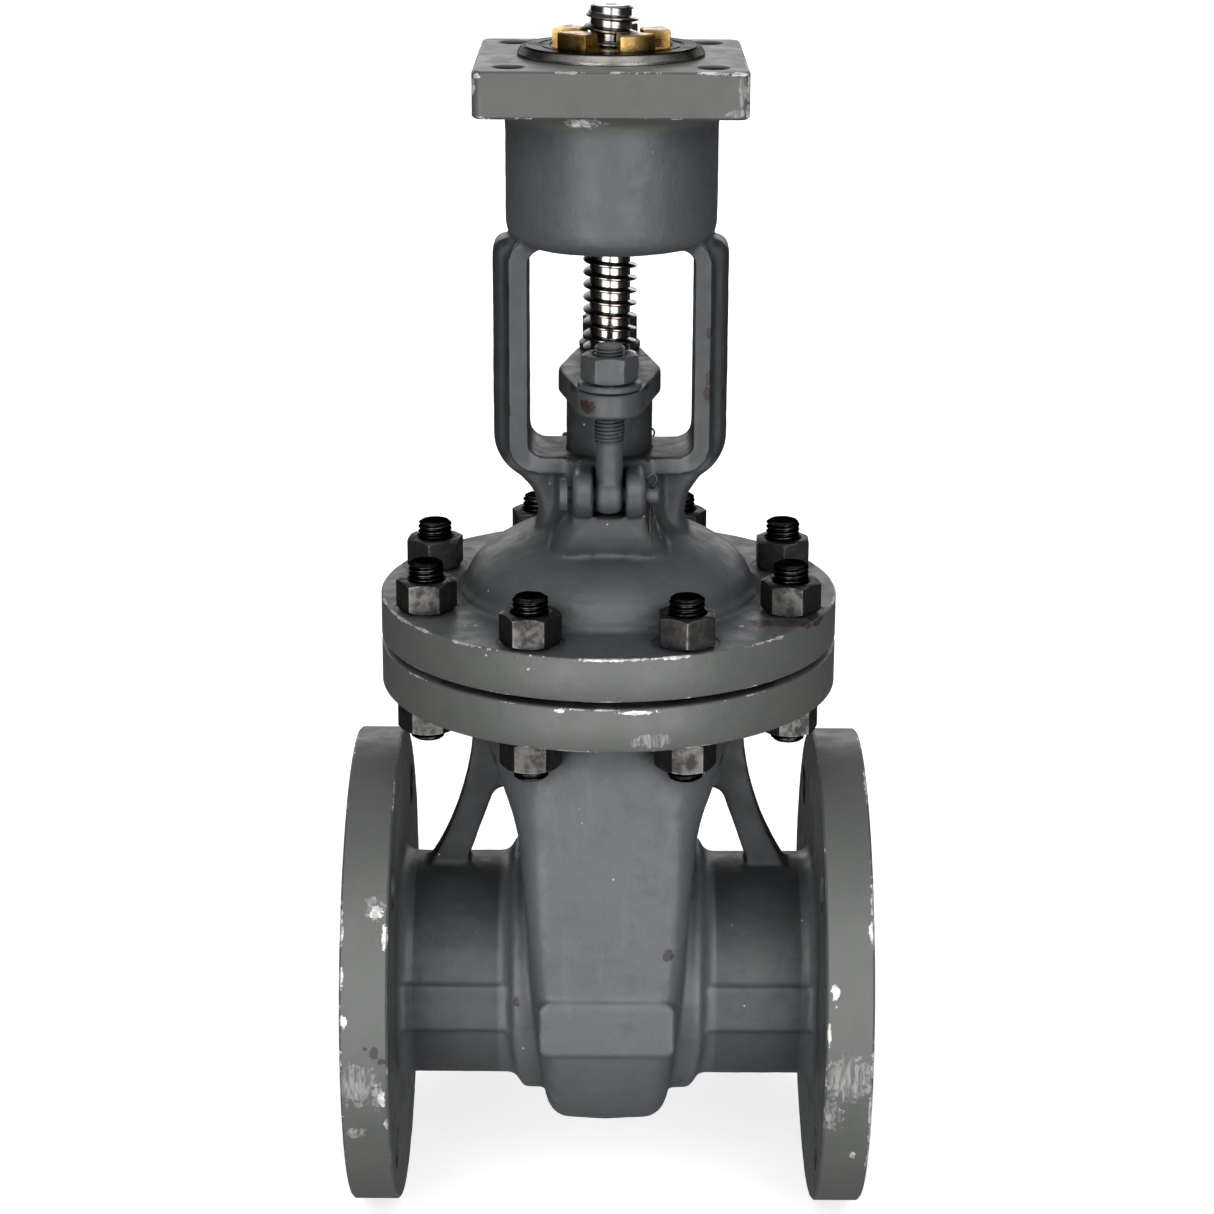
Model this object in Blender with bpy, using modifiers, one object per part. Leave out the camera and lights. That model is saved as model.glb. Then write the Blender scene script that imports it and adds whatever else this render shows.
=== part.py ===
"""Wedge gate valve DN 80 PN 16 with a rising stem, made to carry an electric actuator.

The pipe runs along X and the stem stands along +Z. The origin is on the pipe's axis, midway between
the two pipe flanges. The valve is closed: the wedge sits in its seats and the stem is fully down.
"""
import math

import bpy
import bmesh
from mathutils import Matrix, Vector

MM = 0.001
GAP = 0.3 * MM                     # clearance between touching pieces

# ---- driving dimensions ----------------------------------------------------------------------------
FACE_TO_FACE = 210 * MM
PIPE_FLANGE_R = 97.5 * MM
PIPE_FLANGE_INNER_X = 84.8 * MM
PIPE_FLANGE_RIM_X = 103.5 * MM
RAISED_FACE_R = 66.5 * MM
PIPE_BOLT_PCD_R = 80 * MM
PIPE_BOLT_HOLE_R = 9 * MM
RIB_HALF_Y = 6 * MM
PAD_HALF_X = 27.3 * MM
PAD_HALF_Z = 11.7 * MM
PAD_FACE_Y = 67 * MM
BAND_HALF_Z = 10 * MM
BAND_FACE_Y = 47 * MM
BORE_R = 39 * MM
NECK_R = 45.9 * MM
COLLAR_R = 52 * MM
COLLAR_X = 38.5 * MM

WEDGE_TAPER = 0.082                # X half-thickness gained per unit of height, a slope of 4.7 degrees
HOUSING_HALF_X = 28.7 * MM         # of the outer wall at the pipe's axis
HOUSING_HALF_Y = 65.2 * MM
CHAMBER_HALF_X = 20.2 * MM
CHAMBER_HALF_Y = 54 * MM
WEDGE_HALF_X = 16.6 * MM
WEDGE_R = 46.5 * MM
SEAT_OUTER_R = 46 * MM
SEAT_DEPTH = 12 * MM

JOINT_FLANGE_R = 91.8 * MM
BODY_FLANGE_BOTTOM = 126.9 * MM
BODY_FLANGE_TOP = 144.2 * MM
BONNET_BOTTOM = 146.9 * MM
BONNET_FLANGE_TOP = 164.2 * MM
STUD_COUNT = 8
STUD_PCD_R = 77.4 * MM
STUD_R = 6.85 * MM
STUD_HOLE_R = 7.6 * MM
STUD_BOTTOM = 111 * MM
STUD_TOP = 184 * MM
NUT_CORNER_R = 12.1 * MM
NUT_HEIGHT = 12 * MM
NUT_BORE_R = STUD_R + 1.5 * GAP
UPPER_NUT_TURNS = (0, 37, 14, 51, 28, 27, 0, 19)      # degrees, as the nuts happened to be left
LOWER_NUT_TURNS = (0, 23, 46, 9, 32, 30, 34, 41)

NECK_TOWER_R = 24.5 * MM           # stuffing box tower on the bonnet
FLOOR_TOP = 222.5 * MM             # floor of the yoke window
FLOOR_BOTTOM = 216 * MM
PEDESTAL_TOP = 203 * MM
PEDESTAL_REACH = 39 * MM
WINDOW_TOP = 305 * MM
WINDOW_HALF_X = 32.5 * MM
FRAME_HALF_X = 39.6 * MM
FRAME_HALF_Y = 18 * MM
WEB_HALF_X = 45.8 * MM
WEB_HALF_Y = 11.5 * MM
DRUM_R = 41.3 * MM
PLATE_BOTTOM = 359.7 * MM
PLATE_TOP = 377.3 * MM
PLATE_HALF = 51.3 * MM
PLATE_HOLE_HALF_SPACING = 38 * MM
PLATE_HOLE_R = 5.8 * MM

STEM_THREAD_R = 10.5 * MM
STEM_SHANK_R = 11 * MM
STEM_TOP = 396.4 * MM
STEM_THREAD_BOTTOM = 224 * MM

BUSH_R = 14 * MM                   # back-seat bush under the stuffing box
BOX_BORE_R = 17.3 * MM             # stuffing box
PACKING_BOTTOM = 192 * MM
PACKING_RING_HEIGHT = 5.6 * MM
PACKING_RINGS = 4
GLAND_SLEEVE_R = 17 * MM
GLAND_FLANGE_BOTTOM = 245 * MM
GLAND_FLANGE_TOP = 255 * MM
GLAND_CENTRE_R = 20.3 * MM
EAR_R = 12.8 * MM

EYEBOLT_Y = 36 * MM
EYEBOLT_PIN_Z = 212.5 * MM
EYEBOLT_SHANK_R = 5.2 * MM
EYEBOLT_THREAD_R = 5.9 * MM
EYEBOLT_TOP = 272 * MM
EYE_R = 7.3 * MM
GLAND_NUT_CORNER_R = 11.1 * MM
GLAND_NUT_HEIGHT = 10.6 * MM
GLAND_WASHER_R = 12.4 * MM
LUG_INNER_X = 6.2 * MM
LUG_OUTER_X = 14.3 * MM
LUG_R = 8.7 * MM
PIN_R = 3.2 * MM
PIN_HEAD_R = 6.4 * MM
PIN_END_X = 19.4 * MM
COTTER_X = 16.6 * MM
COTTER_WIRE_R = 0.42 * MM

NUT_BUSH_R = 22.8 * MM             # stem nut, above its collar
NUT_COLLAR_R = 27 * MM
BEARING_INNER_R = 19 * MM
BEARING_OUTER_R = 30.5 * MM
LOWER_BEARING_Z = 328 * MM
WASHER_THICKNESS = 3 * MM
CAGE_SPACE = 7 * MM
BALL_COUNT = 10
NUT_TAIL_BOTTOM = 310 * MM
COVER_R = 36 * MM
COVER_TOP = 381.2 * MM
DOG_TOP = 387 * MM
DOG_COUNT = 5
DOG_SLOT_HALF_ANGLE = math.radians(17)
FIRST_SLOT_ANGLE = math.radians(-98)

ROUND = 32                         # sides of a large round part
MEDIUM_ROUND = 24
SMALL_ROUND = 12                   # sides of a small one


# ---- scene, collections and materials --------------------------------------------------------------
for old in list(bpy.data.objects):
    bpy.data.objects.remove(old, do_unlink=True)

PARTS = bpy.data.collections.new("gate_valve")
CUTTERS = bpy.data.collections.new("gate_valve_cutters")
bpy.context.scene.collection.children.link(PARTS)
bpy.context.scene.collection.children.link(CUTTERS)


def make_material(name, colour, metallic, roughness):
    """A Principled material of one colour."""
    material = bpy.data.materials.new(name)
    material.use_nodes = True
    shader = material.node_tree.nodes["Principled BSDF"]
    shader.inputs["Base Color"].default_value = (*colour, 1)
    shader.inputs["Metallic"].default_value = metallic
    shader.inputs["Roughness"].default_value = roughness
    return material


GREY_PAINT = make_material("grey_paint", (0.17, 0.185, 0.19), 0.0, 0.45)
NUT_STEEL = make_material("bare_nut_steel", (0.30, 0.29, 0.27), 1.0, 0.35)
STUD_STEEL = make_material("oily_stud_steel", (0.08, 0.08, 0.08), 1.0, 0.3)
STEM_STEEL = make_material("bright_stem_steel", (0.60, 0.58, 0.56), 1.0, 0.16)
DARK_STEEL = make_material("dark_bearing_steel", (0.10, 0.10, 0.10), 1.0, 0.3)
BRASS = make_material("brass", (0.58, 0.40, 0.13), 1.0, 0.3)
GRAPHITE = make_material("graphite", (0.03, 0.03, 0.032), 0.0, 0.6)


# ---- modelling tools -------------------------------------------------------------------------------
def add_object(name, mesh, material=None):
    """Put a mesh in the valve's collection, round faces shaded smooth."""
    mesh.shade_smooth()
    mesh.set_sharp_from_angle(angle=math.radians(35))
    thing = bpy.data.objects.new(name, mesh)
    PARTS.objects.link(thing)
    if material:
        mesh.materials.clear()
        mesh.materials.append(material)
    return thing


def mesh_from(builder):
    """A new mesh filled by a function that is given an empty bmesh."""
    mesh = bpy.data.meshes.new("mesh")
    work = bmesh.new()
    builder(work)
    bmesh.ops.recalc_face_normals(work, faces=work.faces)
    work.to_mesh(mesh)
    work.free()
    return mesh


def box(name, low, high, material=None):
    """A block between two opposite corners, in any order."""
    low, high = (Vector(map(pick, low, high)) for pick in (min, max))
    size, centre = high - low, (low + high) / 2
    matrix = Matrix.Translation(centre) @ Matrix.Diagonal((*size, 1))
    return add_object(name, mesh_from(lambda work: bmesh.ops.create_cube(work, size=1, matrix=matrix)),
                      material)


def cylinder(name, radius, start, end, sides=ROUND, material=None, turn=0.0):
    """A round bar from one point to another; six sides make a hexagon."""
    start, end = Vector(start), Vector(end)
    run = end - start
    if sides > 6:
        turn = math.pi / sides         # keeps its corners off those of turned shapes
    matrix = (Matrix.Translation((start + end) / 2) @ run.to_track_quat("Z", "Y").to_matrix().to_4x4()
              @ Matrix.Rotation(turn, 4, "Z"))
    return add_object(name, mesh_from(lambda work: bmesh.ops.create_cone(
        work, cap_ends=True, segments=sides, radius1=radius, radius2=radius, depth=run.length,
        matrix=matrix)), material)


def turned(name, profile, sides=ROUND, material=None, closed=False):
    """A shape turned about Z from a profile of (radius, height), which runs down its outer side."""
    mesh = bpy.data.meshes.new(name)
    count = len(profile)
    edges = [(i, i + 1) for i in range(count - 1)] + ([(count - 1, 0)] if closed else [])
    mesh.from_pydata([(r, 0, z) for r, z in profile], edges, [])
    thing = add_object(name, mesh, material)
    screw = thing.modifiers.new("turn", "SCREW")
    screw.steps = sides
    screw.render_steps = sides
    screw.use_merge_vertices = True
    screw.merge_threshold = 0.00001
    screw.use_smooth_shade = False
    return bake(thing)


def bake(thing):
    """Turn an object's evaluated shape into its own mesh."""
    bpy.context.view_layer.update()
    evaluated = thing.evaluated_get(bpy.context.evaluated_depsgraph_get())
    mesh = bpy.data.meshes.new_from_object(evaluated)
    work = bmesh.new()
    work.from_mesh(mesh)
    bmesh.ops.remove_doubles(work, verts=work.verts, dist=0.000001)
    work.to_mesh(mesh)
    work.free()
    thing.modifiers.clear()
    thing.data = mesh
    mesh.shade_smooth()
    mesh.set_sharp_from_angle(angle=math.radians(35))
    return thing


def plate(name, outline, thickness, material=None):
    """A flat outline of (x, z) points, as thick as said along Y and centred on Y = 0."""
    curve = bpy.data.curves.new(name, "CURVE")
    curve.dimensions = "2D"
    curve.fill_mode = "BOTH"
    curve.extrude = thickness / 2
    spline = curve.splines.new("POLY")
    spline.points.add(len(outline) - 1)
    for point, (x, z) in zip(spline.points, outline):
        point.co = (x, z, 0, 1)
    spline.use_cyclic_u = True
    flat = bpy.data.objects.new(name + "_outline", curve)
    PARTS.objects.link(flat)
    flat.matrix_world = Matrix.Rotation(math.radians(90), 4, "X")
    return curve_to_mesh(flat, name, material)


def curve_to_mesh(curve_object, name, material):
    """Make a curve's body a closed mesh and remove the curve."""
    bpy.context.view_layer.update()
    evaluated = curve_object.evaluated_get(bpy.context.evaluated_depsgraph_get())
    mesh = bpy.data.meshes.new_from_object(evaluated)
    mesh.transform(curve_object.matrix_world)
    work = bmesh.new()
    work.from_mesh(mesh)
    bmesh.ops.remove_doubles(work, verts=work.verts, dist=0.000005)
    bmesh.ops.recalc_face_normals(work, faces=work.faces)
    work.to_mesh(mesh)
    work.free()
    bpy.data.objects.remove(curve_object, do_unlink=True)
    return add_object(name, mesh, material)


def loft(name, rings, material=None):
    """A body skinned over rings of points, each ring with as many points as the next."""
    def build(work):
        made = [[work.verts.new(point) for point in ring] for ring in rings]
        for lower, upper in zip(made, made[1:]):
            for i in range(len(lower)):
                j = (i + 1) % len(lower)
                work.faces.new((lower[i], lower[j], upper[j], upper[i]))
        work.faces.new(made[0])
        work.faces.new(made[-1])
    return add_object(name, mesh_from(build), material)


def combine(operation, target, *others):
    """Join others to the target, or cut them from it, with a Boolean for each."""
    for other in others:
        modifier = target.modifiers.new(other.name, "BOOLEAN")
        modifier.operation = operation
        modifier.solver = "EXACT"
        modifier.object = other
        PARTS.objects.unlink(other)
        CUTTERS.objects.link(other)
        other.hide_render = True
        other.display_type = "WIRE"
    return target


def fuse(target, *others):
    return combine("UNION", target, *others)


def cut(target, *others):
    return combine("DIFFERENCE", target, *others)


def copy_at(name, source, location, turn=0.0):
    """A copy that shares the source's mesh."""
    thing = bpy.data.objects.new(name, source.data)
    PARTS.objects.link(thing)
    thing.location = location
    thing.rotation_euler = (0, 0, turn)
    return thing


def along_x(thing, tilt=0.0):
    """Lay a shape turned about Z along +X, then tilt it about Y; its Z zero stays at the origin."""
    thing.data.transform(Matrix.Rotation(tilt, 4, "Y") @ Matrix.Rotation(math.radians(90), 4, "Y"))
    return thing


def arc(centre_x, centre_z, radius, start, end, steps):
    """Points on an arc, with its angles in degrees."""
    angles = [math.radians(start + (end - start) * i / steps) for i in range(steps + 1)]
    return [(centre_x + radius * math.cos(a), centre_z + radius * math.sin(a)) for a in angles]


def rounded_ring(half_x, half_y, radius, z, steps=5):
    """A level ring with rounded corners."""
    ring = []
    for corner, (sx, sy) in enumerate(((1, 1), (-1, 1), (-1, -1), (1, -1))):
        cx, cy = sx * (half_x - radius), sy * (half_y - radius)
        ring += [(x, y, z) for x, y in arc(cx, cy, radius, corner * 90, corner * 90 + 90, steps)]
    return ring


# ---- body ------------------------------------------------------------------------------------------
def wheel(name, half_x, radius, rounding, steps=3, sides=ROUND):
    """A wheel about X whose thickness follows the wedge's taper, the round lower end of the housing."""
    edge = arc(radius - rounding, half_x - rounding, rounding, 90, 0, steps)
    profile = [(0, half_x)] + edge + [(r, -z) for r, z in reversed(edge)] + [(0, -half_x)]
    disc = along_x(turned(name, profile, sides))
    for vertex in disc.data.vertices:
        vertex.co.x *= 1 + WEDGE_TAPER * vertex.co.z / half_x
    return disc


def tower(name, levels, steps):
    """The upper part of the housing or its hollow, from levels of (z, half x, half y, corner)."""
    return loft(name, [rounded_ring(x * MM, y * MM, r * MM, z * MM, steps) for z, x, y, r in levels])


def pipe_end(side):
    """One neck with its collar and pipe flange, turned about X."""
    half = FACE_TO_FACE / 2
    profile = [(0, half), (RAISED_FACE_R, half), (RAISED_FACE_R, PIPE_FLANGE_RIM_X)]
    profile += [(PIPE_FLANGE_R - MM, PIPE_FLANGE_RIM_X), (PIPE_FLANGE_R, PIPE_FLANGE_RIM_X - MM)]
    profile += [(PIPE_FLANGE_R, PIPE_FLANGE_INNER_X)]
    fillet = 5 * MM
    profile += arc(NECK_R + fillet, PIPE_FLANGE_INNER_X - fillet, fillet, 90, 180, 2)
    profile += [(NECK_R, COLLAR_X + 4 * MM), (COLLAR_R - 1.5 * MM, COLLAR_X), (COLLAR_R, COLLAR_X - 3 * MM)]
    profile += [(COLLAR_R, 10 * MM), (0, 10 * MM)]
    end = along_x(turned(f"pipe_end_{side}", profile))
    end.data.transform(Matrix.Rotation(0 if side > 0 else math.pi, 4, "Z"))
    return end


def rib_outline():
    """The plate under the body flange: a concave outer edge and a window beside the housing."""
    edge_x, edge_z, edge_r = 55 * MM, 110 * MM, 119.7 * MM
    outer = arc(edge_x + edge_r, edge_z, edge_r, 180, 180 + 33.4, 10)
    window = arc(42.6 * MM, 74.5 * MM, 5 * MM, 20, 90, 4)
    outline = [(30 * MM, BODY_FLANGE_BOTTOM + MM), (edge_x, BODY_FLANGE_BOTTOM + MM)] + outer
    return outline + [(58 * MM, 42 * MM), (57 * MM, 49 * MM)] + window + [(30 * MM, 79.5 * MM)]


def make_body():
    body = tower("body", [(BODY_FLANGE_BOTTOM / MM + 1, 60, 62, 59), (118, 54, 62.5, 48),
                          (108, 47.5, 64.5, 33), (95, 41, 65.2, 22), (85, 37.6, 65.2, 16),
                          (75, 35.2, 65.2, 12), (50, 32.8, 65.2, 10), (-1, 28.6, 65.2, 9)], 5)
    body.data.materials.append(GREY_PAINT)
    fuse(body, wheel("housing_bottom", HOUSING_HALF_X, HOUSING_HALF_Y, 9 * MM))
    for side in (1, -1):
        fuse(body, pipe_end(side))
    fuse(body, cylinder("body_flange", JOINT_FLANGE_R, (0, 0, BODY_FLANGE_BOTTOM), (0, 0, BODY_FLANGE_TOP)))
    for side in (1, -1):
        rib = plate(f"rib_{side}", rib_outline(), 2 * RIB_HALF_Y)
        rib.data.transform(Matrix.Rotation(0 if side > 0 else math.pi, 4, "Z"))
        fuse(body, rib)
    for side in (1, -1):
        pad = plate(f"housing_pad_{side}", rounded_outline(PAD_HALF_X, PAD_HALF_Z, 4 * MM), 8 * MM)
        pad.location.y = side * (PAD_FACE_Y - 4 * MM)
        fuse(body, pad)
        for end in (1, -1):
            corners = ((end * 30 * MM, side * 38 * MM, -BAND_HALF_Z),
                       (end * 86 * MM, side * BAND_FACE_Y, BAND_HALF_Z))
            fuse(body, box(f"neck_band_{end}_{side}", *corners))

    hollow = tower("chamber", [(150, 54, 54, 53), (124, 51, 54, 47), (110, 41.5, 54, 31),
                               (90, 31, 54, 15), (70, 26.6, 54, 8), (-1, 20.1, 54, 5)], 3)
    hollow_bottom = wheel("chamber_bottom", CHAMBER_HALF_X, CHAMBER_HALF_Y, 5 * MM, 1, MEDIUM_ROUND)
    for side in (1, -1):
        for part in (hollow, hollow_bottom):
            cut(part, box(f"rail_{side}_{part.name}", (-3.5 * MM, side * 50 * MM, -20 * MM),
                          (3.5 * MM, side * 60 * MM, 122 * MM)))
    fuse(hollow, bake(hollow_bottom))
    for side in (1, -1):
        pocket = cylinder(f"seat_pocket_{side}", SEAT_OUTER_R + GAP, (5 * MM, 0, 0),
                          (WEDGE_HALF_X + SEAT_DEPTH + 2 * GAP, 0, 0))
        pocket.data.transform(seat_tilt(side))
        fuse(hollow, pocket)
    fuse(hollow, cylinder("flow_bore", BORE_R, (-FACE_TO_FACE, 0, 0), (FACE_TO_FACE, 0, 0)))
    cut(body, bake(hollow))
    for side in (1, -1):
        for quarter in range(4):
            angle = math.radians(45 + 90 * quarter)
            y, z = PIPE_BOLT_PCD_R * math.cos(angle), PIPE_BOLT_PCD_R * math.sin(angle)
            cut(body, cylinder(f"pipe_bolt_hole_{side}_{quarter}", PIPE_BOLT_HOLE_R,
                               (side * 80 * MM, y, z), (side * 110 * MM, y, z), SMALL_ROUND))
    for i in range(STUD_COUNT):
        x, y = stud_place(i)
        cut(body, cylinder(f"body_stud_hole_{i}", STUD_HOLE_R, (x, y, 120 * MM), (x, y, 150 * MM),
                           SMALL_ROUND))
    return body


def rounded_outline(half_x, half_z, radius, centre_z=0.0, steps=3):
    """A flat rectangle with rounded corners, as (x, z) points."""
    return [(x, z + centre_z) for x, z, _ in rounded_ring(half_x, half_z, radius, 0, steps)]


def seat_tilt(side):
    """Square to one face of the wedge, on the pipe's axis; side 1 is +X."""
    half_turn = Matrix.Rotation(0 if side > 0 else math.pi, 4, "Z")
    return half_turn @ Matrix.Rotation(math.atan(WEDGE_TAPER), 4, "Y")


def stud_place(index):
    angle = math.radians(22.5 + 360 / STUD_COUNT * index)
    return STUD_PCD_R * math.cos(angle), STUD_PCD_R * math.sin(angle)


# ---- wedge, seats and stem -------------------------------------------------------------------------
def make_seats():
    start = WEDGE_HALF_X + GAP
    for side, word in ((-1, "left"), (1, "right")):
        profile = [(BORE_R, start + SEAT_DEPTH), (SEAT_OUTER_R, start + SEAT_DEPTH), (SEAT_OUTER_R, start),
                   (BORE_R, start)]
        seat = along_x(turned(f"seat_ring_{word}", profile, material=DARK_STEEL, closed=True))
        seat.data.transform(seat_tilt(side))


def make_wedge():
    """The tapered disc with its guide lugs and the T-slot that the stem's head hangs in."""
    half_top, half_bottom = (WEDGE_HALF_X + sign * WEDGE_TAPER * 60 * MM for sign in (1, -1))
    outline = [(-half_bottom, -60 * MM), (half_bottom, -60 * MM), (half_top, 60 * MM), (-half_top, 60 * MM)]
    wedge = cylinder("wedge", WEDGE_R, (-30 * MM, 0, 0), (30 * MM, 0, 0), material=DARK_STEEL)
    for side in (1, -1):
        fuse(wedge, box(f"guide_lug_{side}", (-9 * MM, side * 40 * MM, 2 * MM),
                        (9 * MM, side * 53.4 * MM, 32 * MM)))
    combine("INTERSECT", wedge, plate("wedge_taper", outline, 120 * MM))
    fuse(wedge, box("t_slot_boss", (-13 * MM, -20 * MM, 36 * MM), (13 * MM, 20 * MM, 62 * MM)))
    for side in (1, -1):
        cut(wedge, box(f"guide_slot_{side}", (-4 * MM, side * 49.6 * MM, -5 * MM),
                       (4 * MM, side * 60 * MM, 40 * MM)))
    cut(wedge, box("t_slot_head", (-30 * MM, -13.4 * MM, 47.1 * MM), (30 * MM, 13.4 * MM, 55.8 * MM)))
    cut(wedge, box("t_slot_neck", (-30 * MM, -7.9 * MM, 55 * MM), (30 * MM, 7.9 * MM, 70 * MM)))
    return wedge


def make_stem():
    """Shank, back-seat collar and T-head; the thread is held at its outer diameter."""
    stem = turned("stem", [(0, STEM_TOP), (7.4 * MM, STEM_TOP), (8.6 * MM, STEM_TOP - 1.5 * MM),
                           (8.6 * MM, STEM_TOP - 3 * MM), (STEM_THREAD_R, STEM_TOP - 4.5 * MM),
                           (STEM_THREAD_R, STEM_THREAD_BOTTOM), (STEM_SHANK_R, STEM_THREAD_BOTTOM - MM),
                           (STEM_SHANK_R, 89 * MM), (14 * MM, 86 * MM), (14 * MM, 79 * MM),
                           (STEM_SHANK_R, 76 * MM), (STEM_SHANK_R, 63.5 * MM), (7.5 * MM, 63 * MM),
                           (7.5 * MM, 50 * MM), (0, 50 * MM)], sides=MEDIUM_ROUND,
                  material=STEM_STEEL)
    return fuse(stem, box("t_head", (-9 * MM, -13 * MM, 47.5 * MM), (9 * MM, 13 * MM, 55.4 * MM)))


# ---- bonnet with yoke, bearing drum and actuator plate ---------------------------------------------
def web_outline():
    """Outer web of the yoke: straight arms that curve in to the tower and flare onto the dome."""
    shoulder = arc(WEB_HALF_X - 5 * MM, WINDOW_TOP - 2.5 * MM, 5 * MM, 90, 0, 3)
    bend = arc(WEB_HALF_X - 20 * MM, 230 * MM, 20 * MM, 0, -60, 6)
    foot = [(29.6 * MM, 207 * MM), (28.4 * MM, 202 * MM), (28.2 * MM, 197 * MM), (29.2 * MM, 192 * MM),
            (31.5 * MM, 187 * MM), (35 * MM, 181 * MM)]
    side = [(20 * MM, WINDOW_TOP + 2.5 * MM)] + shoulder + bend + foot
    return side + [(-x, z) for x, z in reversed(side)]


def make_bonnet():
    dome = [(0, 196 * MM), (26 * MM, 196 * MM), (30 * MM, 191 * MM), (41 * MM, 185 * MM),
            (49 * MM, 180 * MM), (55 * MM, 174 * MM), (57.4 * MM, 169 * MM), (58 * MM, 163 * MM),
            (0, 163 * MM)]
    bonnet = turned("bonnet", dome, material=GREY_PAINT)
    fuse(bonnet, cylinder("bonnet_flange", JOINT_FLANGE_R, (0, 0, BONNET_BOTTOM), (0, 0, BONNET_FLANGE_TOP)))
    fuse(bonnet, cylinder("tower", NECK_TOWER_R, (0, 0, 185 * MM), (0, 0, FLOOR_TOP)))
    fuse(bonnet, plate("web", web_outline(), 2 * WEB_HALF_Y))
    frame_top = WINDOW_TOP + 5 * MM
    frame = rounded_outline(FRAME_HALF_X, (frame_top - FLOOR_BOTTOM) / 2, 11 * MM,
                            (frame_top + FLOOR_BOTTOM) / 2, 4)
    fuse(bonnet, plate("frame", frame, 2 * FRAME_HALF_Y))
    fuse(bonnet, *lugs())
    window = rounded_outline(WINDOW_HALF_X, (WINDOW_TOP - FLOOR_TOP) / 2, 6 * MM,
                             (WINDOW_TOP + FLOOR_TOP) / 2, 4)
    cut(bonnet, plate("window", window, 80 * MM))
    drum = [(0, PLATE_BOTTOM + MM), (45 * MM, PLATE_BOTTOM + MM), (42.4 * MM, 356.5 * MM),
            (DRUM_R, 353 * MM), (DRUM_R, 313 * MM), (40 * MM, 308.5 * MM), (36 * MM, 305.8 * MM),
            (32 * MM, WINDOW_TOP), (0, WINDOW_TOP)]
    fuse(bonnet, turned("drum", drum))
    fuse(bonnet, top_plate())
    cut(bonnet, turned("bonnet_hollow", [(0, 179 * MM), (26 * MM, 178.6 * MM), (37 * MM, 175.5 * MM),
                                         (44 * MM, 171 * MM), (48 * MM, 165 * MM), (49 * MM, 160 * MM),
                                         (49 * MM, 140 * MM), (0, 140 * MM)]))
    cut(bonnet, cylinder("bush_hole", BUSH_R + GAP, (0, 0, 170 * MM), (0, 0, 189 * MM), MEDIUM_ROUND))
    cut(bonnet, cylinder("stem_hole", STEM_SHANK_R + 2 * GAP, (0, 0, 170 * MM), (0, 0, 230 * MM),
                         MEDIUM_ROUND))
    cut(bonnet, cylinder("stuffing_box", BOX_BORE_R, (0, 0, 190 * MM), (0, 0, 230 * MM), MEDIUM_ROUND))
    cut(bonnet, cylinder("nut_tail_hole", 17 * MM, (0, 0, 296 * MM), (0, 0, 340 * MM), MEDIUM_ROUND))
    cut(bonnet, cylinder("bearing_bore", BEARING_OUTER_R + 0.5 * MM, (0, 0, LOWER_BEARING_Z - GAP),
                         (0, 0, 390 * MM), 30))
    cut(bonnet, cylinder("cover_thread", 33.5 * MM, (0, 0, 361.2 * MM), (0, 0, 390 * MM), 36))
    for i in range(STUD_COUNT):
        x, y = stud_place(i)
        cut(bonnet, cylinder(f"bonnet_stud_hole_{i}", STUD_HOLE_R, (x, y, 140 * MM), (x, y, 170 * MM),
                             SMALL_ROUND))
    for sx in (1, -1):
        for sy in (1, -1):
            x, y = sx * PLATE_HOLE_HALF_SPACING, sy * PLATE_HOLE_HALF_SPACING
            cut(bonnet, cylinder(f"plate_hole_{sx}_{sy}", PLATE_HOLE_R, (x, y, 350 * MM), (x, y, 385 * MM),
                                 SMALL_ROUND))
    for side in (1, -1):
        y = side * EYEBOLT_Y
        cut(bonnet, cylinder(f"lug_hole_{side}", PIN_R + GAP, (-30 * MM, y, EYEBOLT_PIN_Z),
                             (30 * MM, y, EYEBOLT_PIN_Z), SMALL_ROUND))
    return bonnet


def lugs():
    """Front and back: a pedestal on the dome and two lugs that hold an eyebolt between them."""
    pieces = []
    for side in (1, -1):
        pieces.append(box(f"pedestal_{side}", (-LUG_OUTER_X, side * 15 * MM, 182 * MM),
                          (LUG_OUTER_X, side * PEDESTAL_REACH, PEDESTAL_TOP)))
        for end in (1, -1):
            x = end * (LUG_INNER_X + LUG_OUTER_X) / 2
            outline = [(side * 14 * MM, 221.2 * MM), (side * 14 * MM, 198 * MM), (side * 36 * MM, 198 * MM)]
            outline += [(side * y, z) for y, z in arc(EYEBOLT_Y, EYEBOLT_PIN_Z, LUG_R, -90, 90, 8)]
            lug = plate(f"lug_{end}_{side}", outline, LUG_OUTER_X - LUG_INNER_X)
            lug.data.transform(Matrix.Translation((x, 0, 0)) @ Matrix.Rotation(math.radians(90), 4, "Z"))
            pieces.append(lug)
    return pieces


def top_plate():
    """Square plate with rounded corners that the actuator is bolted to."""
    ease = 1.2 * MM
    rings = [(PLATE_BOTTOM, ease), (PLATE_BOTTOM + ease, 0), (PLATE_TOP - ease, 0), (PLATE_TOP, ease)]
    return loft("top_plate", [rounded_ring(PLATE_HALF - inset, PLATE_HALF - inset, 4 * MM, z, 3)
                              for z, inset in reversed(rings)])


# ---- bonnet joint ----------------------------------------------------------------------------------
def hex_nut(name, corner_r, bore_r, height, material, turn=0.0):
    """A hexagon nut standing on z = 0, its bore plain."""
    nut = cylinder(name, corner_r, (0, 0, 0), (0, 0, height), 6, material, turn)
    cutter = cylinder(name + "_bore", bore_r, (0, 0, -MM), (0, 0, height + MM), SMALL_ROUND)
    return bake(cut(nut, cutter))


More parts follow.
